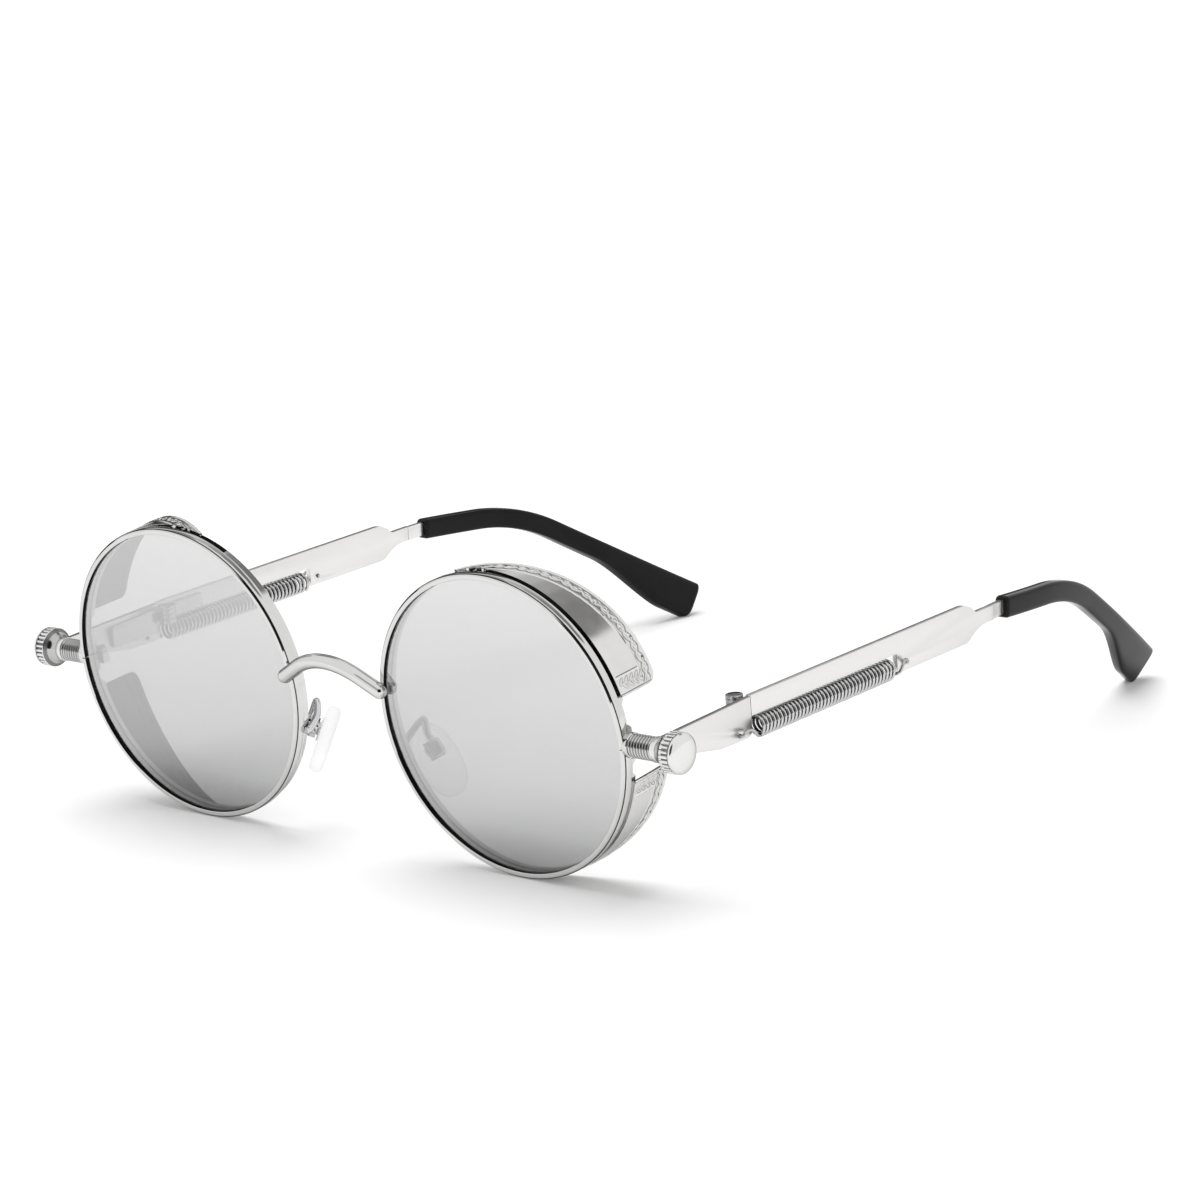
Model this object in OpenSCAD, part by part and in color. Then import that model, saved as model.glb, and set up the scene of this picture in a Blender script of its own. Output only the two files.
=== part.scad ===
// Round metal sunglasses with side shields, threaded side bolts and spring temples.
// Front frame: X runs to the side, Y runs back along the temples, Z runs up.
// Its origin lies midway between the rims, in the plane of their front faces.
// The finished object stands on the lowest points of its rims and temple tips.

/* [Rims and lenses] */
// Radius of the clear opening of a rim
eye_r = 25; // [23.5:0.25:27]
// Distance between the centres of the rims
eye_spacing = 71.6; // [68:0.2:76]
// Width of a rim's front face
rim_w = 1.0; // [0.9:0.05:1.4]
// Depth of a rim's front band
rim_band_d = 1.7; // [1.4:0.1:2]
// Depth of the seat behind the band, which carries the shields
rim_seat_d = 1.5; // [1.4:0.1:2]
// Height of the step from the band down to the seat
rim_step = 0.4; // [0.3:0.05:0.5]
// Rounding of a rim's front edge
rim_round = 0.3; // [0.1:0.05:0.4]
// Width of the slit where a rim opens
rim_slit = 0.2; // [0.1:0.05:0.4]
// Depth of a lens behind the front faces
lens_setback = 0.95; // [0.7:0.05:1]
// Thickness of a lens
lens_t = 1.3; // [1.1:0.1:1.5]
// How far a lens reaches into its groove
lens_bite = 0.28; // [0.15:0.01:0.35]
// Gap between a lens and its groove
lens_gap = 0.02; // [0.01:0.01:0.05]

/* [Bridge] */
// Diameter of the bridge bar
bridge_d = 2.3; // [1.8:0.1:2.8]
// Radius of the arch
bridge_arc_r = 13; // [11:0.5:14]
// Half of the angle that the arch covers
bridge_arc_a = 32; // [28:1:36]
// Height of the arch's crown above the rim centres
bridge_top = 7.7; // [6.5:0.1:9]
// Lean of the arch out of the rims' plane
bridge_lean = 15; // [8:1:20]
// How far the bar's ends reach across the rims
bridge_lap = 0.95; // [0.8:0.05:2.4]

/* [Side shields] */
// Thickness of the shield sheet
shield_t = 0.5; // [0.4:0.05:0.6]
// Gap between a rim's band and its shields
shield_gap = 0.7; // [0.4:0.1:1]
// Depth of an upper shield at its widest
shield_depth_up = 11.4; // [9:0.1:13]
// Depth of a lower shield at its widest
shield_depth_low = 11.1; // [9:0.1:13]
// Tilt of an upper shield's back edge against the rim's plane
shield_tilt_up = 23; // [21:0.5:34]
// Tilt of a lower shield's back edge against the rim's plane
shield_tilt_low = 20; // [18:0.5:34]
// Direction round the rim in which an upper shield's back edge leans
shield_dir_up = 28; // [20:1:34]
// Direction round the rim in which a lower shield's back edge leans
shield_dir_low = 12; // [10:1:34]
// Angle at which an upper shield ends
shield_end_up = 17; // [14:1:24]
// Angle at which a lower shield ends
shield_end_low = 14; // [14:1:24]
// Rounding of the free corner
shield_corner = 1.8; // [1:0.1:3]

/* [Side bolts and knobs] */
// Diameter of the thread
bolt_d = 4; // [3.4:0.1:4.4]
// Depth of the thread
thread_d = 0.25; // [0.15:0.05:0.35]
// Number of crests on the thread
thread_crests = 8; // [6:1:10]
// Length of the thread between the collar and the end plate
bolt_l = 4.6; // [4:0.1:6]
// Distance of the bolt's axis behind the front faces
bolt_back = 2.0; // [1.6:0.1:2.2]
// Diameter of the collar
collar_d = 4.2; // [4.1:0.1:4.8]
// Length of the collar
collar_l = 0.65; // [0.5:0.05:1]
// Diameter of the stud that carries the knob
stud_d = 2.4; // [2:0.1:2.8]
// Diameter of the knurled ring
knob_d = 6.8; // [6:0.1:7.4]
// Length of the knob's cone
cone_l = 2; // [1.4:0.1:2.4]
// Length of the knurled ring
knurl_l = 1.6; // [1.2:0.1:2]
// Number of grooves in the knurled ring
knurl_count = 26; // [20:1:30]
// Diameter of a groove in the knurled ring
knurl_groove_d = 0.5; // [0.3:0.05:0.6]
// Height of the cap's dome
dome_h = 0.9; // [0.7:0.1:1.4]
// Length of the cap's straight edge
cap_edge = 0.4; // [0.3:0.1:0.9]

/* [Temples] */
// Thickness of the temple plates and end plates
plate_t = 1.0; // [0.8:0.05:1.2]
// Height of a temple plate
plate_h = 6.7; // [6.3:0.1:7.4]
// Length of a temple plate
plate_l = 58.5; // [54:0.5:66]
// Downward slope of the temples
temple_drop = 4.6; // [2:0.2:8]
// Gap between an end plate and its temple plate
seam = 0.12; // [0.08:0.01:0.2]
// Step from a temple's top edge down to its end plate's
end_plate_down = 0.2; // [0.1:0.05:0.3]
// Length of an end plate from the bolt to the seam
end_plate_l = 22.4; // [21:0.1:25]
// Height of the seam's top above the rim centres
seam_top = 1.02; // [0.4:0.01:1.2]
// Height of the neck behind a temple plate
neck_h = 2.5; // [2.2:0.1:2.8]
// Length of the neck to the tip's front end
neck_l = 11; // [9:0.5:14]
// Drop of the neck's top edge below the plate's
neck_drop = 2; // [1.6:0.05:2.2]
// Radius of the plate's lower corner at its neck
heel_r = 3; // [2:0.5:4]
// Radius of the hollow that leads on to the neck
hollow_r = 8; // [5:0.5:8]
// Length of the core inside a tip
core_l = 12; // [6:0.5:13]
// Height of the core
core_h = 2.0; // [1.6:0.1:2.2]
// Running gap between a core and its tip
core_gap = 0.05; // [0.03:0.01:0.1]

/* [Temple tips] */
// Thickness of a tip
tip_t = 2.8; // [2.4:0.1:3.4]
// Height of a tip at its front end
tip_h = 3.8; // [3.5:0.1:4.4]
// Height of the paddle at the far end
paddle_h = 7.7; // [6.6:0.1:8.4]
// Length of the straight stretch before the bend
tip_straight = 14.2; // [13:0.2:18]
// Radius of the bend
tip_bend_r = 41.6; // [34:0.2:50]
// Angle of the bend
tip_bend_a = 27.2; // [22:0.2:32]
// Length of the stretch behind the bend
tip_rear = 36.4; // [30:0.2:42]
// Slope of a tip against its temple plate
tip_slope = 5.5; // [3:0.5:7]
// Radius at which the tips curve in behind the ears
tip_inward_r = 205; // [160:5:240]
// Inward lean of the paddle's lower edge
paddle_lean = 14; // [0:1:20]
// Slant of a tip's end
tip_slant = 15; // [0:1:25]
// Length over which that slant comes in
slant_l = 14; // [10:1:18]

/* [Hinges] */
// Distance of the hinge axis inside the middle of the plates
hinge_in = 2.8; // [2.5:0.05:3.2]
// Diameter of the hinge barrel
barrel_d = 2.9; // [2.6:0.05:3]
// Height of the hinge barrel
barrel_h = 2.65; // [2.4:0.05:2.8]
// Distance of the barrel's top below the top of the plates
barrel_down = 0.65; // [0.5:0.05:0.8]
// Diameter of the hinge screw
hinge_screw_d = 1.4; // [1.1:0.05:1.5]
// Running gap between the hinge screw and the rear knuckle
hinge_gap = 0.05; // [0.03:0.01:0.08]
// Gap between neighbouring knuckles
knuckle_gap = 0.06; // [0.04:0.01:0.1]
// Thickness of the hinge leaves
leaf_t = 0.8; // [0.6:0.05:0.9]
// Length of the front hinge leaf
front_leaf_l = 10.5; // [8:0.5:12]
// Length of the rear hinge leaf
rear_leaf_l = 8.5; // [6:0.5:12]
// Height of the hinge screw's head
screw_head_h = 0.45; // [0.35:0.05:0.6]

/* [Springs] */
// Outer diameter of a spring
spring_d = 3.8; // [3.4:0.05:4]
// Diameter of its wire
wire_d = 0.5; // [0.4:0.01:0.52]
// Number of curls
curls = 38; // [30:1:38]
// Length of the coiled part
coil_l = 35.5; // [35.2:0.1:37]
// Distance of the first curl behind the seam
coil_start = 1.5; // [1.2:0.05:2]
// Height of the temple strip that runs above a spring
strip_h = 3.35; // [3.2:0.05:3.6]
// Gap between a spring and that strip
notch_gap = 0.3; // [0.15:0.05:0.4]
// Distance of the front hook in front of the seam
hook_front = 3.2; // [2.8:0.1:4]
// Distance of the rear hook behind the coil
hook_rear = 3.6; // [3:0.1:4.2]
// Radial gap between a hook and its hole
hook_gap = 0.15; // [0.1:0.01:0.2]

/* [Nose pads] */
// Length of a nose pad
pad_l = 13.2; // [12:0.1:15]
// Width of a nose pad
pad_w = 7.5; // [6.5:0.1:8.5]
// Thickness of a nose pad
pad_t = 2.4; // [2:0.1:2.8]
// Distance of a pad's centre from the middle of the front
pad_side = 13; // [12:0.1:14]
// Distance of a pad's centre behind the front faces
pad_back = 8.2; // [7.8:0.1:9]
// Distance of a pad's centre below the rim centres
pad_down = 11.7; // [11:0.1:13]
// Spread of the pads towards their lower ends
pad_frontal = 31; // [26:1:34]
// Spread of the pads towards the face
pad_splay = 32; // [28:1:36]
// Width of a pad box
box_w = 2.6; // [2.4:0.1:3]
// Height of a pad box
box_h = 3.2; // [2.8:0.1:3.6]
// Depth of a pad box
box_d = 2.4; // [2.2:0.1:2.8]
// Thickness of a pad box's walls
box_wall = 0.5; // [0.4:0.05:0.6]
// Gap between a pad and its box, in which the pad rocks
box_gap = 0.6; // [0.5:0.05:0.9]
// Diameter of the pad screw
pad_screw_d = 0.9; // [0.8:0.05:1]
// Running gap between the pad screw and its lug
pad_screw_gap = 0.05; // [0.03:0.01:0.08]
// Diameter of a pad arm
arm_d = 1.2; // [1:0.05:1.3]

/* [Rim locks] */
// Height of a rim lock
lock_h = 2.6; // [2.4:0.1:3]
// Width of a rim lock
lock_w = 1.5; // [1.3:0.1:1.6]
// Depth of a rim lock
lock_d = 1.5; // [1.3:0.1:1.8]
// Diameter of the lock screw
lock_screw_d = 0.8; // [0.6:0.05:0.9]

/* [Hidden] */
$fn = 96;
right = 1;
left = -1;
upper = 1;
lower = -1;
reach = 200;
bite = 0.5;
seat_gap = 0.02;

rim_r = eye_r + rim_w;
seat_r = rim_r - rim_step;
rim_d = rim_band_d + rim_seat_d;
groove_r = eye_r + lens_bite + lens_gap;
eye_x = eye_spacing / 2;

bridge_y = -bridge_d / 2 + 0.55;
bridge_crown_z = bridge_top - bridge_arc_r;
bridge_leg_x = bridge_arc_r * sin(bridge_arc_a);
bridge_leg_z = bridge_crown_z + bridge_arc_r * cos(bridge_arc_a);
bridge_end_x = eye_x - rim_r + bridge_lap;
bridge_leg_l = (bridge_end_x - bridge_leg_x) / cos(bridge_arc_a);
bridge_foot_z = bridge_leg_z - bridge_leg_l * sin(bridge_arc_a);

shield_in = seat_r + seat_gap;
shield_out = shield_in + shield_t;
shield_front = rim_band_d + shield_gap;

collar_x = eye_x + rim_r + collar_l;
plate_in = collar_x + bolt_l + seat_gap;
plate_x = plate_in + plate_t / 2;
plate_out = plate_in + plate_t;
stud_gap = 0.03;
thread_pitch = bolt_l / thread_crests;
cone_x = plate_out + seat_gap;
knurl_x = cone_x + cone_l;
cap_x = knurl_x + knurl_l + seat_gap;
cap_r = knob_d / 2 - 0.05;
dome_r = (cap_r * cap_r + dome_h * dome_h) / (2 * dome_h);
stud_l = plate_t + cone_l + knurl_l - 0.3;

hinge_y = bolt_back + end_plate_l;
hinge_z = seam_top;
hinge_x = plate_x - hinge_in;
eye_dy = -end_plate_l;
eye_dz = -seam_top;
eye_s = eye_dy * cos(temple_drop) - eye_dz * sin(temple_drop);
eye_w = eye_dy * sin(temple_drop) + eye_dz * cos(temple_drop);
eye_ring_r = bolt_d / 2 + 0.1;

coil_r = (spring_d - wire_d) / 2;
coil_w = -strip_h - notch_gap - spring_d / 2;
coil_end = coil_start + coil_l;
notch_end = coil_end + 1.6;
hook_r = wire_d / 2 + hook_gap;
hook_front_w = coil_w - 0.3;
hook_rear_w = coil_w + 0.3;
hook_bend = 0.7;
curl_rings = 8;
wire_sides = 6;

barrel_r = barrel_d / 2;
knuckle_h = (barrel_h - 2 * knuckle_gap) / 3;
leaf_in = plate_in - seat_gap - leaf_t;
leaf_clear = barrel_r + 0.15;
leaf_low = 0.25;
rear_leaf_h = barrel_h - 0.2;
front_leaf_h = plate_h - 2.2;

tip_start = plate_l + neck_l;
neck_bar_l = 3.5;
tip_top = -neck_drop + 0.6;
tip_total = tip_straight + tip_bend_r * tip_bend_a * PI / 180 + tip_rear;
inward_start = plate_l - 0.5;
core_turn = atan((tip_start - inward_start + core_l / 2) / tip_inward_r);

// The radius of the pad's ends, and where its box lies on its back
pad_end_r = pad_w / 2;
box_x = pad_t / 2 + box_gap;
screw_x = box_x + box_d / 2 - 0.3;
lug_w = box_w - 2 * box_wall - 0.1;
lug_r = 0.85;
pad_up = 1.8;

lock_y = rim_d + seat_gap;
lock_x = eye_x + sqrt(seat_r * seat_r - lock_h * lock_h) - lock_w;
lock_top = 0.4;

// Vectors and swept tubes

function unit(v) = v / norm(v);
function across(v, t) = unit(v - t * (v * t));
function mix(a, b, k) = a + (b - a) * k;
function ease(k) = let (c = min(1, max(0, k))) c * c * (3 - 2 * c);

// Tangents along a list of points
function tangents(p) = [for (i = [0 : len(p) - 1])
    unit(p[min(i + 1, len(p) - 1)] - p[max(i - 1, 0)])];

// Normals carried along the tangents without twist
function normals(t, first) = [for (i = 0, n = across(first, t[0]); i < len(t);
    i = i + 1, n = i < len(t) ? across(n, t[i]) : n) n];

// Faces of a closed skin over rings of equal size
function skin_faces(rings, sides) = concat(
    [for (i = [0 : rings - 2], j = [0 : sides - 1], half = [0, 1])
        let (a = i * sides + j, b = i * sides + (j + 1) % sides)
        half == 0 ? [a, b, b + sides] : [a, b + sides, a + sides]],
    [[for (j = [sides - 1 : -1 : 0]) j]],
    [[for (j = [0 : sides - 1]) (rings - 1) * sides + j]]);

// A tube along points, whose sections stand square to it
module tube(points, r, sides, first) {
    t = tangents(points);
    n = normals(t, first);
    skin = [for (i = [0 : len(points) - 1]) let (b = cross(t[i], n[i]))
        for (j = [0 : sides - 1]) let (a = -360 * j / sides)
            points[i] + r * (n[i] * cos(a) + b * sin(a))];
    polyhedron(skin, skin_faces(len(points), sides), convexity = 10);
}

// A smooth curve through points, with steps rings on each stretch
function curve_at(a, b, c, d, k) = 0.5 * (2 * b + (c - a) * k
    + (2 * a - 5 * b + 4 * c - d) * k * k + (3 * b - a - 3 * c + d) * k * k * k);
function curve(p, steps) = concat(
    [for (i = [0 : len(p) - 2], k = [0 : steps - 1])
        curve_at(p[max(i - 1, 0)], p[i], p[i + 1], p[min(i + 2, len(p) - 1)], k / steps)],
    [p[len(p) - 1]]);

// Temple tips: rings along a top edge that runs straight, bends down and runs straight

bend_l = tip_bend_r * tip_bend_a * PI / 180;
function tip_turn(d) = tip_slope + tip_bend_a * min(1, max(0, (d - tip_straight) / bend_l));
// The top edge at distance d, as [along the temple, up]
function tip_edge(d) = let (
    a = tip_turn(d),
    s1 = min(d, tip_straight),
    r = tip_bend_r,
    s3 = max(0, d - tip_straight - bend_l)) [
        tip_start + s1 * cos(tip_slope) + r * (sin(a) - sin(tip_slope)) + s3 * cos(a),
        tip_top - s1 * sin(tip_slope) - r * (cos(tip_slope) - cos(a)) - s3 * sin(a)];
function inward(s) = pow(max(0, s - inward_start), 2) / (2 * tip_inward_r);
// The tip widens to its paddle between these distances
paddle_from = 0.64 * tip_total;
paddle_to = 0.9 * tip_total;
function tip_height(d) = mix(tip_h, paddle_h, ease((d - paddle_from) / (paddle_to - paddle_from)));
tip_sides = 20;
// Distances of the rings and how full each is: both ends are rounded off
tip_rings = concat(
    [[0, 0.8], [0.25, 0.93], [0.7, 1]],
    [for (i = [1 : 20]) [0.7 + (tip_total - 1.7) * i / 20, 1]],
    [[tip_total - 0.45, 0.95], [tip_total - 0.12, 0.87], [tip_total, 0.76]]);
function rounded(c) = sign(c) * pow(abs(c), 0.5);
function tip_ring(d, full) = [for (j = [0 : tip_sides - 1]) let (
    a = -360 * j / tip_sides,
    h = tip_height(d),
    u = rounded(cos(a)) * full,
    v = rounded(sin(a)) * full,
    back = tan(tip_slant) * (1 + v) / 2 * h * ease((d - tip_total + slant_l) / slant_l),
    e = tip_edge(d - back),
    turn = tip_turn(d),
    lean = paddle_lean * ease((d - tip_straight - bend_l / 2) / tip_rear),
    off = h / 2 * (1 + v),
    x = plate_x - inward(e[0]) + u * tip_t / 2 * cos(lean) - off * sin(lean),
    down = off * cos(lean) + u * tip_t / 2 * sin(lean))
        [x, e[0] - down * sin(turn), e[1] - down * cos(turn)]];
tip_skin = [for (r = tip_rings) each tip_ring(r[0], r[1])];

// Frames of the assembly

// Lowest point of a rim, and of a tip, with the object turned by angle a
function low_of(p, a) = p[1] * sin(a) + p[2] * cos(a);
function rim_low(a) = rim_round * sin(a) - (rim_r - rim_round) * cos(a) - rim_round;
function tip_in_front(p) = [p[0],
    hinge_y + p[1] * cos(temple_drop) + p[2] * sin(temple_drop),
    hinge_z - p[1] * sin(temple_drop) + p[2] * cos(temple_drop)];
function tip_low(a) = min([for (p = tip_skin) low_of(tip_in_front(p), a)]);
function tip_far(a) = max([for (p = tip_skin)
    let (q = tip_in_front(p)) q[1] * cos(a) - q[2] * sin(a)]);
// The resting angle, by bisection between lo and hi
function rest_angle(lo, hi, n) = let (m = (lo + hi) / 2)
    n == 0 ? m : tip_low(m) < rim_low(m) ? rest_angle(m, hi, n - 1) : rest_angle(lo, m, n - 1);
steepest_rest = 15;
rest_tilt = rest_angle(0, steepest_rest, 24);
front_z = -rim_low(rest_tilt);
crown_y = bridge_y - (bridge_top - bridge_foot_z) * sin(bridge_lean);
crown_z = bridge_foot_z + (bridge_top - bridge_foot_z) * cos(bridge_lean);
front_most = crown_y * cos(rest_tilt) - crown_z * sin(rest_tilt) - bridge_d / 2;
front_y = -(front_most + tip_far(rest_tilt)) / 2;

// The front frame, stood at rest; side is 1 on the right and -1 on the left
module in_front(side = right) {
    translate([0, front_y, front_z]) rotate([rest_tilt, 0, 0])
        mirror([side == left ? 1 : 0, 0, 0]) children();
}

// Local X, Y and Z become the front frame's X, Z and Y: turned shapes face forward
module facing_front() {
    mirror([0, 1, 0]) rotate([90, 0, 0]) children();
}

module at_eye(side) {
    in_front(side) translate([eye_x, 0, 0]) facing_front() children();
}

// The side frame: its origin is the seam's top, Y runs along the temple
module at_side(side) {
    in_front(side) translate([0, hinge_y, hinge_z]) rotate([-temple_drop, 0, 0]) children();
}

// Extrudes an outline drawn as [along the temple, up] from x0 outward
module side_plate(x0, t) {
    translate([x0, 0, 0]) rotate([90, 0, 90]) linear_extrude(t) children();
}

// A cylinder from a to b along X
module rod_x(x0, x1, r) {
    translate([x0, 0, 0]) rotate([0, 90, 0]) cylinder(h = x1 - x0, r = r);
}

module at_bolt(side) {
    in_front(side) translate([0, bolt_back, 0]) children();
}

// The pad frame: Z along the pad, X away from the nose, Y across the pad
module at_pad(side) {
    in_front(side) translate([pad_side, pad_back, -pad_down])
        rotate([0, -pad_frontal, 0]) rotate([0, 0, -pad_splay]) children();
}

// What rounds a convex corner at the origin that fills the quadrant [-x, -y]
module corner_waste(r) {
    difference() {
        translate([-r, -r]) square(r + bite);
        translate([-r, -r]) circle(r, $fn = 48);
    }
}

// Rims and lenses

module rim_outline(gap = 0) {
    r = rim_r + gap;
    polygon(concat(
        [[eye_r - bite, -gap], [r - rim_round, -gap]],
        [for (a = [75 : -15 : 15]) [r - rim_round + rim_round * cos(a),
            rim_round - gap - rim_round * sin(a)]],
        [[r, rim_round - gap], [r, rim_band_d + gap], [seat_r + gap, rim_band_d + gap],
            [seat_r + gap, rim_d + gap], [eye_r - bite, rim_d + gap]]));
}

module rim(side) {
    color([0.8, 0.8, 0.79]) at_eye(side) difference() {
        rotate_extrude($fn = 128) difference() {
            rim_outline();
            translate([0, -bite]) square([eye_r, rim_d + 2 * bite]);
            translate([0, lens_setback - lens_gap])
                square([groove_r, lens_t + 2 * lens_gap]);
        }
        translate([eye_r - bite, -rim_slit / 2, -bite])
            cube([rim_w + 2 * bite, rim_slit, rim_d + 2 * bite]);
    }
}

module lens(side) {
    color([0.78, 0.79, 0.8]) at_eye(side) translate([0, 0, lens_setback])
        cylinder(h = lens_t, r = eye_r + lens_bite, $fn = 128);
}

// A closing block behind the rim's slit, where its screw draws the rim shut
module rim_lock(side) {
    color([0.74, 0.74, 0.74]) in_front(side)
        translate([lock_x, lock_y, lock_top - lock_h]) difference() {
            cube([lock_w, lock_d, lock_h]);
            translate([lock_w / 2, lock_d / 2, -bite])
                cylinder(h = lock_h + 2 * bite, d = lock_screw_d + 2 * seat_gap, $fn = 32);
            translate([-bite, -bite, lock_h - lock_top - rim_slit / 2])
                cube([lock_w / 2 + bite - lock_screw_d / 2 - 0.1, lock_d + 2 * bite, rim_slit]);
        }
}

module lock_screw(side) {
    head_h = 0.4;
    color([0.6, 0.6, 0.61]) in_front(side)
        translate([lock_x + lock_w / 2, lock_y + lock_d / 2, lock_top]) difference() {
            union() {
                translate([0, 0, -lock_h]) cylinder(h = lock_h, d = lock_screw_d, $fn = 32);
                cylinder(h = head_h, d = lock_screw_d + 0.5, $fn = 32);
            }
            translate([-1, -0.1, head_h / 2]) cube([2, 0.2, head_h]);
        }
}

// Bridge

// One straight end of the bar, which runs a little way into the arch
module bridge_half() {
    lap = 0.4;
    r = bridge_d / 2 - 0.01;
    translate([bridge_leg_x - lap * cos(bridge_arc_a), 0, bridge_leg_z + lap * sin(bridge_arc_a)])
        rotate([0, 90 + bridge_arc_a, 0]) rotate_extrude($fn = 48) intersection() {
            union() {
                square([r, bridge_leg_l + lap]);
                translate([0, bridge_leg_l + lap]) circle(r, $fn = 48);
            }
            square([r + bite, bridge_leg_l + lap + r]);
        }
}

module bridge() {
    color([0.82, 0.82, 0.81]) in_front() difference() {
        translate([0, bridge_y, bridge_foot_z]) rotate([bridge_lean, 0, 0])
            translate([0, 0, -bridge_foot_z]) {
                bridge_half();
                mirror([1, 0, 0]) bridge_half();
                translate([0, 0, bridge_crown_z]) rotate([90, 0, 0])
                    rotate([0, 0, 90 - bridge_arc_a])
                        rotate_extrude(angle = 2 * bridge_arc_a)
                            translate([bridge_arc_r, 0]) circle(d = bridge_d, $fn = 48);
            }
        translate([-reach / 2, -seat_gap, -reach / 2]) cube(reach);
    }
}

// Side shields

module shield(side, level) {
    end_a = level == upper ? shield_end_up : shield_end_low;
    depth = level == upper ? shield_depth_up : shield_depth_low;
    dir = level == upper ? shield_dir_up : shield_dir_low;
    tilt = level == upper ? shield_tilt_up : shield_tilt_low;
    end_depth = depth - shield_out * tan(tilt) * (1 - cos(end_a - dir));
    color([0.79, 0.79, 0.78]) in_front(side) translate([eye_x, 0, 0])
        mirror([0, 0, level == lower ? 1 : 0]) facing_front() difference() {
            rotate([0, 0, end_a]) rotate_extrude(angle = 125 - end_a, $fn = 128)
                translate([shield_in, shield_front]) square([shield_t, depth]);
            rotate([0, 0, dir]) translate([shield_out, 0, depth])
                rotate([0, -tilt, 0]) translate([-reach / 2, -reach / 2, 0]) cube(reach);
            rotate([0, 0, end_a]) translate([shield_out, 0, 0]) shield_corner_waste(end_depth);
        }
}

// Rounds the free corner that lies at depth d on the shield's end edge
module shield_corner_waste(d) {
    r = shield_corner;
    difference() {
        translate([-bite - shield_t, -bite, d - r]) cube([shield_t + 2 * bite, r + bite, r + bite]);
        translate([-2 * bite - shield_t, r, d - r]) rotate([0, 90, 0])
            cylinder(h = shield_t + 4 * bite, r = r, $fn = 48);
    }
}

// Side bolts, end plates and knobs

module side_bolt(side) {
    root = bolt_d / 2 - thread_d;
    color([0.72, 0.72, 0.72]) difference() {
        at_bolt(side) {
            rod_x(collar_x - collar_l - 1.2, collar_x, collar_d / 2);
            rotate([0, 90, 0]) rotate_extrude() polygon(concat(
                [[0, collar_x - bite]], [[root, collar_x - bite]],
                [for (i = [0 : thread_crests - 1], k = [0, 1])
                    [root + k * thread_d, collar_x + (i + k / 2) * thread_pitch]],
                [[root, collar_x + bolt_l], [0, collar_x + bolt_l]]));
            rod_x(collar_x, collar_x + bolt_l + stud_l, stud_d / 2);
        }
        at_eye(side) rotate_extrude($fn = 128) union() {
            rim_outline(seat_gap);
            translate([0, -seat_gap]) square([eye_r, rim_d + 2 * seat_gap]);
        }
        at_eye(side) cylinder(h = reach, r = seat_r + seat_gap, $fn = 128);
    }
}

// Outline of an end plate, which widens from its eye to the seam
module end_plate_outline() {
    corner_r = 1.2;
    belly_s = -8;
    eye_side = eye_ring_r - 0.2;
    difference() {
        polygon([[eye_s, eye_w + eye_side], [-seam / 2, -end_plate_down], [-seam / 2, -plate_h],
            [belly_s, -plate_h], [eye_s + 6, eye_w - eye_ring_r - 0.25],
            [eye_s, eye_w - eye_side]]);
        translate([-seam / 2, -plate_h]) mirror([0, 1, 0]) corner_waste(corner_r);
    }
}

module end_plate(side) {
    color([0.82, 0.82, 0.8]) at_side(side) difference() {
        union() {
            side_plate(plate_in, plate_t) end_plate_outline();
            translate([0, eye_s, eye_w]) rod_x(plate_in, plate_out, eye_ring_r);
        }
        translate([0, eye_s, eye_w])
            rod_x(plate_in - bite, plate_out + bite, stud_d / 2 + stud_gap);
        translate([0, -hook_front, hook_front_w]) rod_x(plate_in - bite, plate_out + bite, hook_r);
    }
}

module knob(side) {
    r = knob_d / 2;
    color([0.76, 0.76, 0.75]) at_bolt(side) difference() {
        rotate([0, 90, 0]) rotate_extrude() polygon([
            [0, cone_x], [eye_ring_r, cone_x], [r - 0.35, knurl_x - 0.35], [r, knurl_x],
            [r, knurl_x + knurl_l - 0.2], [r - 0.2, knurl_x + knurl_l], [0, knurl_x + knurl_l]]);
        rod_x(cone_x - bite, collar_x + bolt_l + stud_l + 0.1, stud_d / 2 + stud_gap);
        for (i = [0 : knurl_count - 1]) rotate([360 * i / knurl_count, 0, 0])
            translate([0, 0, r + knurl_groove_d / 5])
                rod_x(knurl_x, knurl_x + knurl_l + bite, knurl_groove_d / 2, $fn = 16);
    }
}

module knob_cap(side) {
    color([0.84, 0.84, 0.83]) at_bolt(side) rotate([0, 90, 0]) rotate_extrude() intersection() {
        translate([0, cap_x]) square([cap_r, cap_edge + dome_h + bite]);
        translate([0, cap_x + cap_edge + dome_h - dome_r]) rotate(0.9) circle(dome_r, $fn = 200);
    }
}

// Hinges, whose axis runs along the side frame's Z

module at_hinge(side) {
    at_side(side) translate([hinge_x, 0, -barrel_down]) children();
}

// Knuckle number i from the top
module knuckle(i) {
    translate([0, 0, -(i + 1) * knuckle_h - i * knuckle_gap])
        cylinder(h = knuckle_h, r = barrel_r, $fn = 48);
}

// The web from knuckle i to the leaf, along the temple in direction dir
module knuckle_web(i, dir) {
    lap = 0.2;
    z = -(i + 1) * knuckle_h - i * knuckle_gap;
    x = hinge_screw_d / 2 + lap;
    y0 = dir > 0 ? 0 : -leaf_clear - lap;
    translate([x, y0, z]) cube([leaf_in + leaf_t - hinge_x - x, leaf_clear + lap, knuckle_h]);
}

module front_hinge(side) {
    color([0.7, 0.7, 0.7]) at_hinge(side) difference() {
        union() {
            for (i = [0, 2]) {
                knuckle(i);
                knuckle_web(i, -1);
            }
            side_plate(leaf_in - hinge_x, leaf_t) polygon([
                [-leaf_clear, -leaf_low], [-leaf_clear - front_leaf_l, -3 * leaf_low],
                [-leaf_clear - front_leaf_l, -front_leaf_h], [-leaf_clear, -front_leaf_h]]);
        }
        translate([0, 0, -barrel_h - bite])
            cylinder(h = barrel_h + 2 * bite, d = hinge_screw_d + 2 * seat_gap, $fn = 48);
    }
}

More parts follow.
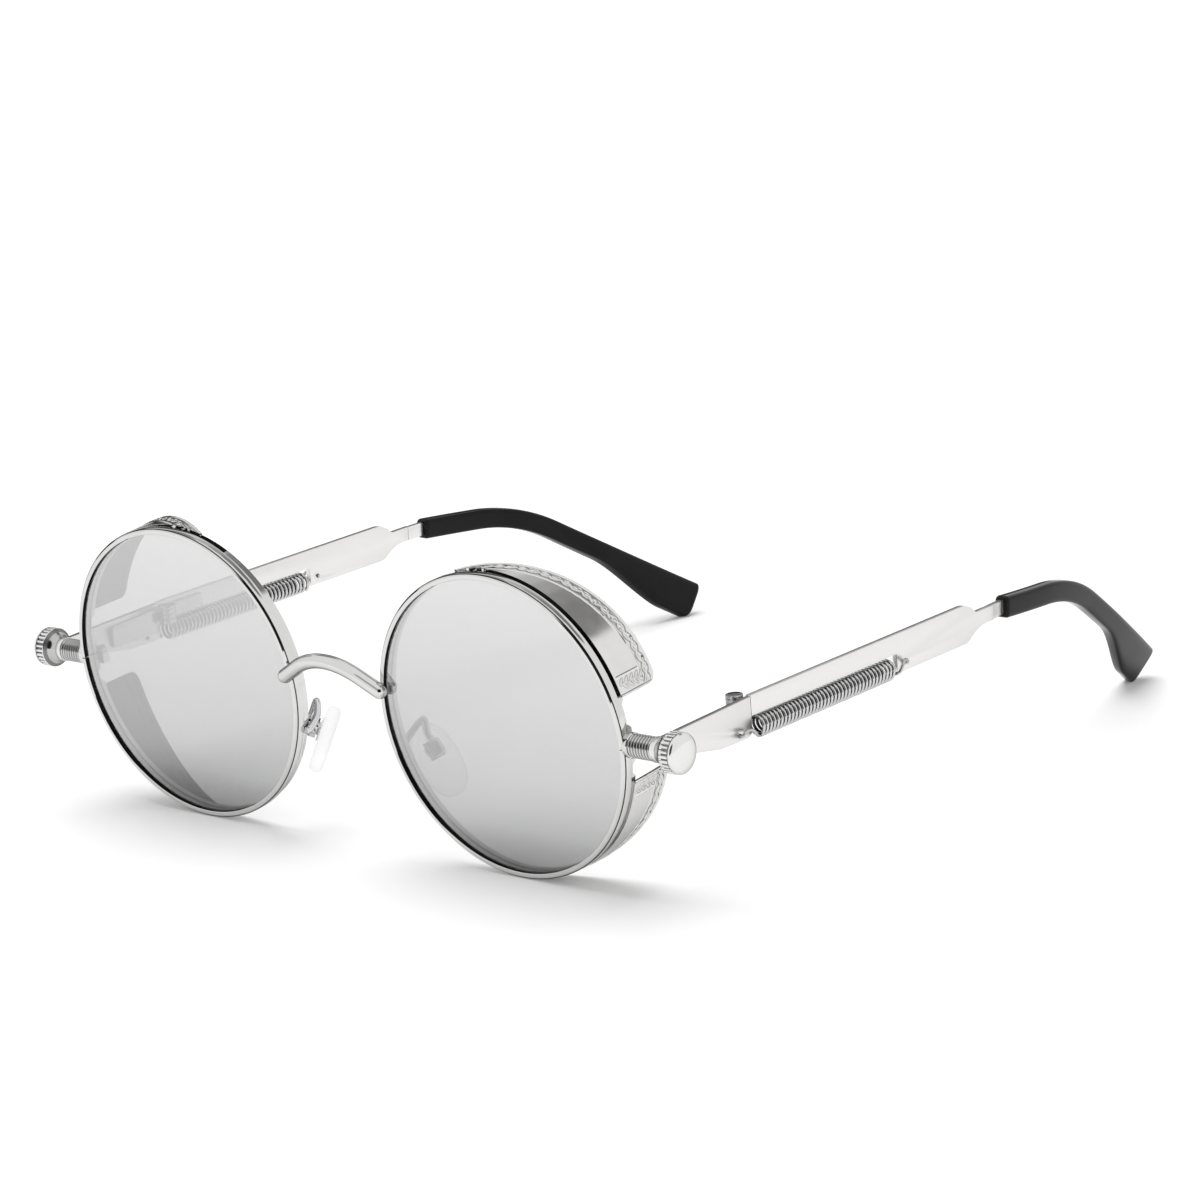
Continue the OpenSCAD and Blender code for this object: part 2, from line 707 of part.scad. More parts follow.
module rear_hinge(side) {
    color([0.72, 0.72, 0.72]) at_hinge(side) difference() {
        union() {
            knuckle(1);
            knuckle_web(1, 1);
            translate([leaf_in - hinge_x, leaf_clear, -rear_leaf_h])
                cube([leaf_t, rear_leaf_l, rear_leaf_h]);
        }
        translate([0, 0, -barrel_h - bite])
            cylinder(h = barrel_h + 2 * bite, d = hinge_screw_d + 2 * hinge_gap, $fn = 48);
    }
}

module hinge_screw(side) {
    color([0.62, 0.62, 0.63]) at_hinge(side) difference() {
        union() {
            translate([0, 0, -barrel_h]) cylinder(h = barrel_h + 0.1, d = hinge_screw_d, $fn = 48);
            translate([0, 0, seat_gap]) cylinder(h = screw_head_h, r = barrel_r, $fn = 48);
        }
        rotate([0, 0, 40]) translate([-2, -0.2, seat_gap + screw_head_h / 2])
            cube([4, 0.4, screw_head_h]);
    }
}

// Temples

// Half of an S from level w to level w - drop, convex with radius r1, then concave with r2
function s_turn(drop, r1, r2) = acos(1 - drop / (r1 + r2));
function s_curve(s, w, drop, r1, r2) = let (a = s_turn(drop, r1, r2), n = 8) concat(
    [for (k = [0 : n]) [s + r1 * sin(a * k / n), w - r1 * (1 - cos(a * k / n))]],
    [for (k = [n - 1 : -1 : 0]) [s + (r1 + r2) * sin(a) - r2 * sin(a * k / n),
        w - drop + r2 * (1 - cos(a * k / n))]]);

// Outline of a temple plate, which narrows to its neck
module temple_outline() {
    neck_low = -neck_drop - neck_h;
    neck_end = plate_l + neck_l - neck_bar_l;
    low_curve = s_curve(plate_l - 1, plate_h, plate_h + neck_low, heel_r, hollow_r);
    difference() {
        polygon(concat(
            [[seam / 2, 0]], s_curve(plate_l - 1.5, 0, neck_drop, 5, 1.5),
            [[neck_end, -neck_drop], [neck_end, neck_low]],
            [for (i = [len(low_curve) - 1 : -1 : 0]) [low_curve[i][0], -low_curve[i][1]]],
            [[seam / 2, -plate_h]]));
        translate([-bite, -plate_h - bite]) square([notch_end + bite, plate_h + bite - strip_h]);
        translate([coil_end + hook_rear, hook_rear_w]) circle(hook_r, $fn = 32);
    }
}

// The bars behind the plate: the rest of the neck, and the core inside the tip
module core(gap = 0) {
    t = plate_t - 0.1 + 2 * gap;
    start = plate_l + neck_l - neck_bar_l - 0.5;
    in_at_start = pow(start - inward_start, 2) / (2 * tip_inward_r);
    in_at_tip = pow(tip_start - inward_start, 2) / (2 * tip_inward_r);
    translate([plate_x - in_at_start, start, -neck_drop - neck_h / 2])
        rotate([0, 0, atan((in_at_tip - in_at_start) / (tip_start - start))])
            translate([-t / 2, -gap, -neck_h / 2 - gap])
                cube([t, tip_start - start + 0.5 + 2 * gap, neck_h + 2 * gap]);
    translate([plate_x - in_at_tip, tip_start, -neck_drop - neck_h / 2])
        rotate([0, 0, core_turn]) rotate([-tip_slope, 0, 0])
            translate([-t / 2, -0.3, -core_h / 2 - gap])
                cube([t, core_l + 0.3 + gap, core_h + 2 * gap]);
}

module temple(side) {
    color([0.83, 0.83, 0.81]) at_side(side) {
        side_plate(plate_in, plate_t) temple_outline();
        core();
    }
}

// Temple tips

module temple_tip(side) {
    color([0.05, 0.05, 0.05]) at_side(side) difference() {
        polyhedron(tip_skin, skin_faces(len(tip_rings), tip_sides), convexity = 6);
        core(core_gap);
    }
}

// Springs

// A hook that leaves the coil's side in direction dir and turns through the plate's hole
function hook_points(s, w, s_from, w_from, dir) = let (
    x = coil_r, b = hook_bend, through = plate_t / 2 + wire_d / 2) [
        [-through, s, w], [0, s, w], [x - b, s, w],
        [x - b * 0.5, s - dir * b * 0.13, w], [x - b * 0.13, s - dir * b * 0.5, w],
        [x, s - dir * b, w], mix([x, s - dir * b, w], [x, s_from, w_from], 0.5),
        [x, s_from, w_from]];

coil_points = [for (i = [0 : curls * curl_rings]) let (a = 360 * i / curl_rings)
    [coil_r * cos(a), coil_start + coil_l * i / (curls * curl_rings), coil_w + coil_r * sin(a)]];
lead = 0.55;
spring_points = concat(
    hook_points(-hook_front, hook_front_w, coil_start - lead, coil_w - lead, -1),
    [[coil_r, coil_start - lead * 0.35, coil_w - lead * 0.65]],
    coil_points,
    [[coil_r, coil_end + lead * 0.35, coil_w + lead * 0.65]],
    [for (p = [7 : -1 : 0]) hook_points(coil_end + hook_rear, hook_rear_w,
        coil_end + lead, coil_w + lead, 1)[p]]);

// Least gap between turns, measured between ring centres more than half a curl apart
spring_gap = min([for (i = [0 : 3 * curl_rings], j = [i + 5 : 4 * curl_rings])
    norm(spring_points[i + 8] - spring_points[j + 8])]) - wire_d;
hook_clear = min([for (i = [0 : 6], j = [13 : 30]) norm(spring_points[i] - spring_points[j])]) - wire_d;
echo(str("spring: least gap between turns ", spring_gap, ", from hook to turns ", hook_clear));

module spring(side) {
    color([0.5, 0.5, 0.5]) at_side(side) translate([plate_x, 0, 0])
        tube(spring_points, wire_d / 2, wire_sides, [0, 0, 1]);
}

// Nose pads

module nose_pad(side) {
    color([0.93, 0.94, 0.95]) at_pad(side) translate([-pad_t / 2, 0, 0]) rotate([0, 90, 0])
        linear_extrude(pad_t) union() {
            for (k = [-1, 1]) translate([k * (pad_l / 2 - pad_end_r), 0]) circle(pad_end_r);
            square([pad_l - 2 * pad_end_r, pad_w], center = true);
        }
}

// The stiff insert on the pad's back, with the eye that the pad screw passes through
module pad_lug(side) {
    foot = 0.3;
    color([0.9, 0.9, 0.88]) at_pad(side) translate([0, 0, pad_up]) difference() {
        union() {
            translate([pad_t / 2 + seat_gap, -box_w / 2, -box_h / 2]) cube([foot, box_w, box_h]);
            translate([pad_t / 2 + seat_gap, -lug_w / 2, -lug_r])
                cube([screw_x - pad_t / 2 - seat_gap, lug_w, 2 * lug_r]);
            translate([screw_x, lug_w / 2, 0]) rotate([90, 0, 0])
                cylinder(h = lug_w, r = lug_r, $fn = 48);
        }
        translate([screw_x, reach / 2, 0]) rotate([90, 0, 0])
            cylinder(h = reach, d = pad_screw_d + 2 * pad_screw_gap, $fn = 48);
    }
}

module pad_box(side) {
    color([0.75, 0.75, 0.75]) at_pad(side) translate([0, 0, pad_up]) difference() {
        translate([box_x, -box_w / 2, -box_h / 2]) cube([box_d, box_w, box_h]);
        translate([box_x - bite, -box_w / 2 + box_wall, -box_h / 2 - bite])
            cube([box_d - box_wall + bite, box_w - 2 * box_wall, box_h + 2 * bite]);
        translate([screw_x, reach / 2, 0]) rotate([90, 0, 0])
            cylinder(h = reach, d = pad_screw_d + 2 * seat_gap, $fn = 48);
    }
}

module pad_screw(side) {
    head_h = 0.35;
    color([0.68, 0.68, 0.69]) at_pad(side) translate([screw_x, 0, pad_up]) difference() {
        union() {
            translate([0, box_w / 2, 0]) rotate([90, 0, 0])
                cylinder(h = box_w + 0.1, d = pad_screw_d, $fn = 48);
            translate([0, -box_w / 2 - seat_gap, 0]) rotate([90, 0, 0])
                cylinder(h = head_h, d = pad_screw_d + 0.6, $fn = 48);
        }
        translate([-1, -box_w / 2 - seat_gap - head_h - bite, -0.1]) cube([2, bite + head_h / 2, 0.2]);
    }
}

// The pad frame's point p in the front frame
function pad_point(p) = let (
    x1 = p[0] * cos(pad_splay) + p[1] * sin(pad_splay),
    y1 = -p[0] * sin(pad_splay) + p[1] * cos(pad_splay)) [
        pad_side + x1 * cos(pad_frontal) - p[2] * sin(pad_frontal),
        pad_back + y1,
        -pad_down + x1 * sin(pad_frontal) + p[2] * cos(pad_frontal)];

// A bent wire from the step of the rim, over a crest, down to the top of the pad box
arm_z = -7.4;
arm_foot_r = seat_r + arm_d / 2 + seat_gap;
arm_x = eye_x - sqrt(arm_foot_r * arm_foot_r - arm_z * arm_z);
box_top = pad_up + box_h / 2;
arm_end = pad_point([box_x + box_d - arm_d / 2 - 0.1, 0, box_top + seat_gap]);
arm_above = pad_point([box_x + box_d - arm_d / 2 - 0.1, 0, box_top + seat_gap + arm_d]);
arm_crest = [arm_x + 1.6, 6.9, arm_z + 3.2];
arm_points = concat(
    [[arm_x, rim_band_d + seat_gap, arm_z]],
    curve([[arm_x, rim_band_d + seat_gap + arm_d, arm_z], [arm_x + 0.2, 5.2, arm_z + 1.5],
        arm_crest, arm_above], 6),
    [arm_end]);

module pad_arm(side) {
    color([0.78, 0.78, 0.77]) in_front(side) tube(arm_points, arm_d / 2, 12, [1, 0, 0]);
}

rim(left);  // rim_left
rim(right);  // rim_right
lens(left);  // lens_left
lens(right);  // lens_right
bridge();
shield(left, upper);  // shield_upper_left
shield(right, upper);  // shield_upper_right
shield(left, lower);  // shield_lower_left
shield(right, lower);  // shield_lower_right
rim_lock(left);  // rim_lock_left
rim_lock(right);  // rim_lock_right
lock_screw(left);  // lock_screw_left
lock_screw(right);  // lock_screw_right
side_bolt(left);  // side_bolt_left
side_bolt(right);  // side_bolt_right
end_plate(left);  // end_plate_left
end_plate(right);  // end_plate_right
knob(left);  // knob_left
knob(right);  // knob_right
knob_cap(left);  // knob_cap_left
knob_cap(right);  // knob_cap_right
pad_arm(left);  // pad_arm_left
pad_arm(right);  // pad_arm_right
pad_box(left);  // pad_box_left
pad_box(right);  // pad_box_right
pad_screw(left);  // pad_screw_left
pad_screw(right);  // pad_screw_right
pad_lug(left);  // pad_lug_left
pad_lug(right);  // pad_lug_right
nose_pad(left);  // nose_pad_left
nose_pad(right);  // nose_pad_right
front_hinge(left);  // front_hinge_left
front_hinge(right);  // front_hinge_right
hinge_screw(left);  // hinge_screw_left
hinge_screw(right);  // hinge_screw_right
rear_hinge(left);  // rear_hinge_left
rear_hinge(right);  // rear_hinge_right
temple(left);  // temple_left
temple(right);  // temple_right
temple_tip(left);  // temple_tip_left
temple_tip(right);  // temple_tip_right
spring(left);  // spring_left
spring(right);  // spring_right
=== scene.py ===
import math
import bpy
from mathutils import Matrix, Vector
from mathutils.kdtree import KDTree


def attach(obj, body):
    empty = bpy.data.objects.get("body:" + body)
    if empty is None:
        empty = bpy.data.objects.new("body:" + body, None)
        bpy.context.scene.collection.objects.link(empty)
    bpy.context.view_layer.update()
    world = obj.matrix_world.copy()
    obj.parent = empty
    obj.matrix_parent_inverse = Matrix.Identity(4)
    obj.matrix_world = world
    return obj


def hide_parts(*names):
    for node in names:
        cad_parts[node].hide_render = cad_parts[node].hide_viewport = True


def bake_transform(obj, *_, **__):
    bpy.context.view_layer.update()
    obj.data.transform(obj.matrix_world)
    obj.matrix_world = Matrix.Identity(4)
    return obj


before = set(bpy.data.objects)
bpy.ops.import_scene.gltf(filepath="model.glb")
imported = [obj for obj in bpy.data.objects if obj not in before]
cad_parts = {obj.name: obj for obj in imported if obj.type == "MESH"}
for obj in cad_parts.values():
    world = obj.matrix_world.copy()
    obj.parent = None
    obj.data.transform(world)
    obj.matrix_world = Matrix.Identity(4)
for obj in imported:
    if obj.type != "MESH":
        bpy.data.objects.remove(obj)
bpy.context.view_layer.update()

mm = 0.001
# Points nearer than this are merged, in mm: in made pieces, in bars, and in the thread and CAD copies
weld = {"made": 0.0004, "bar": 0.0005, "loose": 0.002}

# Where the front stands at rest: the front frame has X to the side, Y back, Z up, in mm
restPose = {"tilt": 6.47069, "frontY": -76.7917, "frontZ": 25.8025}
frontFrame = (Matrix.Translation((0, restPose["frontY"] * mm, restPose["frontZ"] * mm))
              @ Matrix.Rotation(math.radians(restPose["tilt"]), 4, "X") @ Matrix.Scale(mm, 4))
mirrorX = Matrix.Scale(-1, 4, (1, 0, 0))
sides = {"right": Matrix.Identity(4), "left": mirrorX}


def clearSelection():
    if bpy.context.mode != "OBJECT":
        bpy.ops.object.mode_set(mode="OBJECT")
    bpy.ops.object.select_all(action="DESELECT")


def pick(obj):
    clearSelection()
    obj.select_set(True)
    bpy.context.view_layer.objects.active = obj
    return obj


# A new object by one of Blender's operators, with nothing else selected
def placed(add, **settings):
    clearSelection()
    add(**settings)
    return bpy.context.object


def editAll(obj):
    pick(obj)
    bpy.ops.object.mode_set(mode="EDIT")
    bpy.ops.mesh.select_all(action="SELECT")


def objectMode():
    bpy.ops.object.mode_set(mode="OBJECT")


# Fills the open ends of a mesh in edit mode
def closeEnds():
    bpy.ops.mesh.select_all(action="DESELECT")
    bpy.ops.mesh.select_non_manifold()
    bpy.ops.mesh.edge_face_add()


# Turns every face outwards and leaves edit mode
def faceOutwards():
    bpy.ops.mesh.select_all(action="SELECT")
    bpy.ops.mesh.normals_make_consistent(inside=False)
    objectMode()


def modify(obj, kind, **values):
    pick(obj)
    modifier = obj.modifiers.new(kind.title(), kind)
    for key, value in values.items():
        setattr(modifier, key, value)
    bpy.ops.object.modifier_apply(modifier=modifier.name)
    return obj


def cleaned(obj):
    editAll(obj)
    bpy.ops.mesh.remove_doubles(threshold=weld["bar"])
    faceOutwards()
    return obj


def joined(first, *others):
    pick(first)
    for other in others:
        other.select_set(True)
    bpy.ops.object.join()
    return first


def moved(obj, matrix):
    obj.data.transform(matrix)
    if matrix.determinant() < 0:
        obj.data.flip_normals()
    return obj


# Takes out the edges whose two ends are both among the given vertices
def cutEdges(obj, ends):
    editAll(obj)
    bpy.ops.mesh.select_all(action="DESELECT")
    objectMode()
    for edge in obj.data.edges:
        edge.select = all(i in ends for i in edge.vertices)
    bpy.ops.object.mode_set(mode="EDIT")
    bpy.ops.mesh.select_mode(type="EDGE")
    bpy.ops.mesh.delete(type="EDGE")
    bpy.ops.mesh.select_mode(type="VERT")
    objectMode()


# A closed outline of (radius, place along the axis) is spun round Y, or laid along X afterwards
def turned(outline, steps, sweep=360.0, start=0.0, axis="Y"):
    obj = placed(bpy.ops.mesh.primitive_circle_add, vertices=len(outline))
    for vertex, (radius, along) in zip(obj.data.vertices, outline):
        vertex.co = (radius, along, 0)
    moved(obj, Matrix.Rotation(math.radians(start), 4, "Y"))
    onAxis = [i for i, (radius, along) in enumerate(outline) if radius < 1e-6]
    if len(onAxis) > 1:
        cutEdges(obj, onAxis)
    editAll(obj)
    bpy.ops.mesh.spin(steps=steps, angle=math.radians(sweep), center=(0, 0, 0), axis=(0, 1, 0))
    bpy.ops.mesh.select_all(action="SELECT")
    bpy.ops.mesh.remove_doubles(threshold=weld["made"])
    if sweep < 360:
        closeEnds()
    faceOutwards()
    if axis == "X":
        moved(obj, Matrix.Rotation(math.radians(-90), 4, "Z"))
    return obj


# A grid wrapped to a sheet or tube: place(u, v) gives each point, u and v run from 0 to 1
def wrapped(acrossCount, alongCount, place, tube=False):
    obj = placed(bpy.ops.mesh.primitive_grid_add, x_subdivisions=acrossCount, y_subdivisions=alongCount,
                 size=1)
    for vertex in obj.data.vertices:
        vertex.co = place(min(1, max(0, vertex.co.x + 0.5)), min(1, max(0, vertex.co.y + 0.5)))
    if tube:
        editAll(obj)
        bpy.ops.mesh.remove_doubles(threshold=weld["made"])
        closeEnds()
        faceOutwards()
    return obj


# A round bar along points; radii narrow it at its ends, and sides is the fineness of its roundness
def bar(points, radius, sides, radii=None):
    obj = placed(bpy.ops.curve.primitive_bezier_curve_add)
    curve = obj.data
    curve.splines.clear()
    spline = curve.splines.new("POLY")
    spline.points.add(len(points) - 1)
    for i, point in enumerate(points):
        spline.points[i].co = (*point, 1)
        spline.points[i].radius = radii[i] if radii else 1
    curve.dimensions = "3D"
    curve.bevel_depth = radius
    curve.bevel_resolution = sides
    curve.use_fill_caps = True
    pick(obj)
    bpy.ops.object.convert(target="MESH")
    obj = bpy.context.object
    return cleaned(obj)


easing = {"flat": 1.2, "sharp": 32, "segments": 2}


# A copy of a CAD node: its loose triangles merged, its flat faces joined and its edges eased
def eased(node, bevel):
    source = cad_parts[node]
    clearSelection()
    obj = source.copy()
    obj.data = source.data.copy()
    obj.parent = None
    for key in list(obj.keys()):
        del obj[key]
    bpy.context.scene.collection.objects.link(obj)
    moved(obj, frontFrame.inverted())
    editAll(obj)
    bpy.ops.mesh.remove_doubles(threshold=weld["loose"])
    bpy.ops.mesh.dissolve_limited(angle_limit=math.radians(easing["flat"]))
    objectMode()
    return modify(obj, "BEVEL", width=bevel, segments=easing["segments"], limit_method="ANGLE",
                  angle_limit=math.radians(easing["sharp"]))


def smoothed(obj, angle):
    pick(obj)
    bpy.ops.object.shade_smooth_by_angle(angle=math.radians(angle))
    return obj


# Says which of a piece's finishes each face has: choose gives its number from the face
def marked(obj, choose):
    for face in obj.data.polygons:
        face.material_index = int(choose(face))
    return obj


# Names a finished piece, and says what it rides on and stands for; where it has several finishes,
# its faces are marked before
def handOver(obj, name, looks, body, node):
    obj.name = name
    obj.data.name = name
    several = isinstance(looks, tuple)
    faces = [face.material_index if several else 0 for face in obj.data.polygons]
    obj.data.materials.clear()
    for look in looks if several else (looks,):
        obj.data.materials.append(finishes[look])
    obj.data.polygons.foreach_set("material_index", faces)
    if body:
        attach(obj, body)
    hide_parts(node)
    return obj


# A piece built for the right side is copied for each side, with its own mesh
def onBothSides(obj, name, looks, body, node, angle, place=Matrix.Identity(4)):
    smoothed(obj, angle)
    made = {}
    for side, mirror in sides.items():
        piece = obj.copy()
        piece.data = obj.data.copy()
        bpy.context.scene.collection.objects.link(piece)
        moved(piece, frontFrame @ mirror @ place)
        made[side] = handOver(piece, f"{name}_{side}", looks,
                              body and body.format(side=side), f"{node}_{side}")
    bpy.data.objects.remove(obj)
    return made


def newGroup(name, inputs, outputs):
    group = bpy.data.node_groups.new(name, "ShaderNodeTree")
    for socket, kind, value in inputs:
        item = group.interface.new_socket(name=socket, in_out="INPUT", socket_type=kind)
        if value is not None:
            item.default_value = value
    for socket, kind in outputs:
        group.interface.new_socket(name=socket, in_out="OUTPUT", socket_type=kind)
    return group, group.nodes.new("NodeGroupInput"), group.nodes.new("NodeGroupOutput")


# A new node with its properties set, and its inputs given a number or linked to a socket
def added(tree, kind, inputs, **settings):
    node = tree.nodes.new("ShaderNode" + kind)
    for key, value in settings.items():
        setattr(node, key, value)
    setInputs(tree, node, inputs)
    return node


def setInputs(tree, node, inputs):
    for key, value in inputs.items():
        if isinstance(value, bpy.types.NodeSocket):
            tree.links.new(value, node.inputs[key])
        else:
            node.inputs[key].default_value = value


# Fine lines along one direction, as brushing leaves them
def makeBrushing():
    group, given, result = newGroup("brushing", [
        ("Vector", "NodeSocketVector", None), ("Along", "NodeSocketFloat", 60.0),
        ("Across", "NodeSocketFloat", 4000.0)], [("Height", "NodeSocketFloat")])
    vector, along, across = given.outputs["Vector"], given.outputs["Along"], given.outputs["Across"]
    scale = added(group, "CombineXYZ", {"X": across, "Y": along, "Z": across})
    stretch = added(group, "VectorMath", {0: vector, 1: scale.outputs[0]}, operation="MULTIPLY")
    noise = added(group, "TexNoise", {"Scale": 1, "Detail": 3, "Vector": stretch.outputs[0]})
    setInputs(group, result, {"Height": noise.outputs["Fac"]})
    return group


# Soft uneven patches, as plating and handling leave them; the noise itself is mostly between 0.3 and 0.7
patchSpread = (0.3, 0.7)


def makeHandling():
    group, given, result = newGroup("handling", [
        ("Vector", "NodeSocketVector", None), ("Size", "NodeSocketFloat", 180.0),
        ("Low", "NodeSocketFloat", 0.1), ("High", "NodeSocketFloat", 0.2)],
        [("Value", "NodeSocketFloat"), ("Mask", "NodeSocketFloat")])
    noise = added(group, "TexNoise", {"Detail": 5, "Roughness": 0.6, "Vector": given.outputs["Vector"],
                                      "Scale": given.outputs["Size"]})
    mask = noise.outputs["Fac"]
    spread = added(group, "MapRange", {"From Min": patchSpread[0], "From Max": patchSpread[1], "Value": mask,
                                       "To Min": given.outputs["Low"], "To Max": given.outputs["High"]})
    setInputs(group, result, {"Value": spread.outputs["Result"], "Mask": mask})
    return group


brushing = makeBrushing()
handling = makeHandling()


def newMaterial(name, metallic=0):
    material = bpy.data.materials.new(name)
    material.use_nodes = True
    tree = material.node_tree
    shader = tree.nodes["Principled BSDF"]
    shader.inputs["Metallic"].default_value = metallic
    return material, tree, shader, tree.nodes.new("ShaderNodeTexCoord").outputs["Object"]


# A colour ramp between a factor and one of the shader's sockets: steps of place and colour
def ramped(tree, factor, steps, shader, socket):
    ramp = added(tree, "ValToRGB", {"Fac": factor})
    marks = ramp.color_ramp.elements
    while len(marks) < len(steps):
        marks.new(0.5)
    for mark, (at, colour) in zip(marks, steps):
        mark.position = at
        mark.color = (*colour, 1)
    setInputs(tree, shader, {socket: ramp.outputs["Color"]})


# Patches of uneven roughness, and of colour where the finish says how much lighter they get
def addPatches(tree, shader, place, finish):
    low, high = finish["rough"]
    patches = added(tree, "Group", {}, node_tree=handling)
    setInputs(tree, patches, {"Vector": place, "Size": finish.get("patches", 180), "Low": low, "High": high})
    setInputs(tree, shader, {"Roughness": patches.outputs["Value"]})
    if "lighter" in finish:
        light = [tone + finish["lighter"] for tone in finish["dark"]]
        steps = list(zip(patchSpread, (finish["dark"], light)))
        ramped(tree, patches.outputs["Mask"], steps, shader, "Base Color")


# Silver metals: darkest colour, how much lighter the patches get, roughness, brushing where it shows, and the
# tone of the pressing's painted shade outline
metals = {
    "polishedSilver": {"dark": (0.66, 0.66, 0.65), "lighter": 0.04, "rough": (0.04, 0.08)},
    "satinSilver": {"dark": (0.775, 0.765, 0.75), "lighter": 0.02, "rough": (0.30, 0.35), "brush": 0.03},
    "pressedSilver": {"dark": (0.71, 0.705, 0.69), "lighter": 0.06, "rough": (0.12, 0.18), "brush": 0.05,
                      "outline": 0.16},
    # Painted shade: the shields' inner faces, the knob's grooves and ring joint, and the seam under the cap
    "paintedShadeGrey": {"dark": (0.20, 0.20, 0.205), "lighter": 0.06, "rough": (0.30, 0.42), "brush": 0.05},
    # Painted shade, near black: the rim's wall before the lens, the step under the shields and the clasp's
    # channel
    "paintedShadeBlack": {"dark": (0.010, 0.010, 0.010), "lighter": 0.012, "rough": (0.30, 0.40)},
    # Painted shade and painted dark reflection in the fine line of the rim's chamfer
    "paintedLineShade": {"dark": (0.04, 0.04, 0.04), "lighter": 0.04, "rough": (0.20, 0.30)},
    "innerSilver": {"dark": (0.78, 0.78, 0.77), "lighter": 0.04, "rough": (0.50, 0.60)},
    "screwSteel": {"dark": (0.50, 0.50, 0.50), "lighter": 0.12, "rough": (0.10, 0.20)},
    # A darker silver, painted on the knob's cone as shade
    "paintedConeShade": {"dark": (0.42, 0.42, 0.41), "lighter": 0.12, "rough": (0.08, 0.14)},
    # Painted shade in the thread's roots
    "paintedRootShade": {"dark": (0.27, 0.27, 0.27), "lighter": 0.07, "rough": (0.20, 0.30)},
    "knobSilver": {"dark": (0.72, 0.72, 0.71), "lighter": 0.08, "rough": (0.06, 0.12)},
    "capSilver": {"dark": (0.74, 0.74, 0.73), "lighter": 0.05, "rough": (0.13, 0.19)},
    "padSteel": {"dark": (0.60, 0.60, 0.61), "lighter": 0.08, "rough": (0.03, 0.06)},
}
edgeTint = (0.45, 0.45, 0.45, 1)  # what metal mirrors at a grazing angle
brushDeep = 0.00002


def makeMetal(name):
    finish = metals[name]
    material, tree, shader, place = newMaterial(name, metallic=1)
    shader.inputs["Specular Tint"].default_value = edgeTint
    addPatches(tree, shader, place, finish)
    # Painted shade: the low ground beside the pressing's ridges is darkened towards the outline tone
    if "outline" in finish:
        outlined = added(tree, "Attribute", {}, attribute_name="outlined")
        patchy = shader.inputs["Base Color"].links[0].from_socket
        darken = added(tree, "Mix", {}, data_type="RGBA")
        setInputs(tree, darken, {"Factor": outlined.outputs["Fac"], "A": patchy,
                                 "B": (*[finish["outline"]] * 3, 1)})
        setInputs(tree, shader, {"Base Color": darken.outputs["Result"]})
    if "brush" in finish:
        lines = added(tree, "Group", {"Vector": place}, node_tree=brushing)
        bump = added(tree, "Bump", {"Strength": finish["brush"], "Distance": brushDeep,
                                    "Height": lines.outputs["Height"]})
        setInputs(tree, shader, {"Normal": bump.outputs["Normal"]})
    return material


# The mirror coating on the front, from the lens's bottom to its top: place, tone and cover; the rest
# is seen through. Its darker, more opaque stops low down are painted shade for the shadowed floor it mirrors
mirrorFinish = {"low": 0.0, "high": 0.052, "rough": (0.03, 0.05), "patches": 60, "bluer": 1.01,
                "stops": [(0.00, 0.11, 0.85), (0.05, 0.18, 0.82), (0.11, 0.26, 0.79), (0.16, 0.35, 0.77),
                          (0.22, 0.41, 0.76), (0.32, 0.45, 0.75), (0.50, 0.49, 0.75), (1.00, 0.62, 0.76)]}


def makeMirror():
    s = mirrorFinish
    material, tree, shader, place = newMaterial("mirrorLens", metallic=1)
    apart = added(tree, "SeparateXYZ", {0: place})
    height = added(tree, "MapRange", {"From Min": s["low"], "From Max": s["high"],
                                      "Value": apart.outputs["Z"]})
    tones = [(at, (tone, tone, tone * s["bluer"])) for at, tone, cover in s["stops"]]
    covers = [(at, (cover, cover, cover)) for at, tone, cover in s["stops"]]
    ramped(tree, height.outputs["Result"], tones, shader, "Base Color")
    ramped(tree, height.outputs["Result"], covers, shader, "Alpha")
    addPatches(tree, shader, place, s)
    return material


# Spring wire, bright outside, with painted shade on the side that faces into the coil
wireFinish = {"rough": (0.08, 0.14), "bright": (0.25, 0.60), "inside": (0.75, 0.04)}


def makeWire():
    material, tree, shader, place = newMaterial("springWire", metallic=1)
    shader.inputs["Specular Tint"].default_value = edgeTint
    addPatches(tree, shader, place, wireFinish)
    inside = added(tree, "Attribute", {}, attribute_name="inside")
    tones = [(at, (tone, tone, tone)) for at, tone in (wireFinish["bright"], wireFinish["inside"])]
    ramped(tree, inside.outputs["Fac"], tones, shader, "Base Color")
    return material


# What isn't metal; silicone is clearest where it faces the eye: blend, and cover from and to
plains = {
    "lensBack": {"dark": (0.30, 0.30, 0.31), "lighter": 0.04, "rough": (0.02, 0.05), "patches": 60,
                 "sockets": {"Alpha": 0.06}},
    "clearSilicone": {"dark": (0.66, 0.66, 0.68), "lighter": 0.06, "rough": (0.06, 0.10), "patches": 120,
                      "clear": (0.15, 0.04, 0.60)},
    "padInsert": {"dark": (0.80, 0.80, 0.78), "lighter": 0.08, "rough": (0.30, 0.45), "patches": 500},
    "blackAcetate": {"dark": (0.004, 0.004, 0.004), "lighter": 0.004, "rough": (0.07, 0.12), "patches": 120,
                     "sockets": {"Specular IOR Level": 0.14}},
}


def makePlain(name):
    finish = plains[name]
    material, tree, shader, place = newMaterial(name)
    addPatches(tree, shader, place, finish)
    setInputs(tree, shader, finish.get("sockets", {}))
    if "clear" in finish:
        blend, low, high = finish["clear"]
        facing = added(tree, "LayerWeight", {"Blend": blend})
        cover = added(tree, "MapRange", {"To Min": low, "To Max": high, "Value": facing.outputs["Facing"]})
        setInputs(tree, shader, {"Alpha": cover.outputs["Result"]})
    return material


finishes = {"mirrorLens": makeMirror(), "springWire": makeWire(),
            **{name: makeMetal(name) for name in metals}, **{name: makePlain(name) for name in plains}}
print("finishes made")

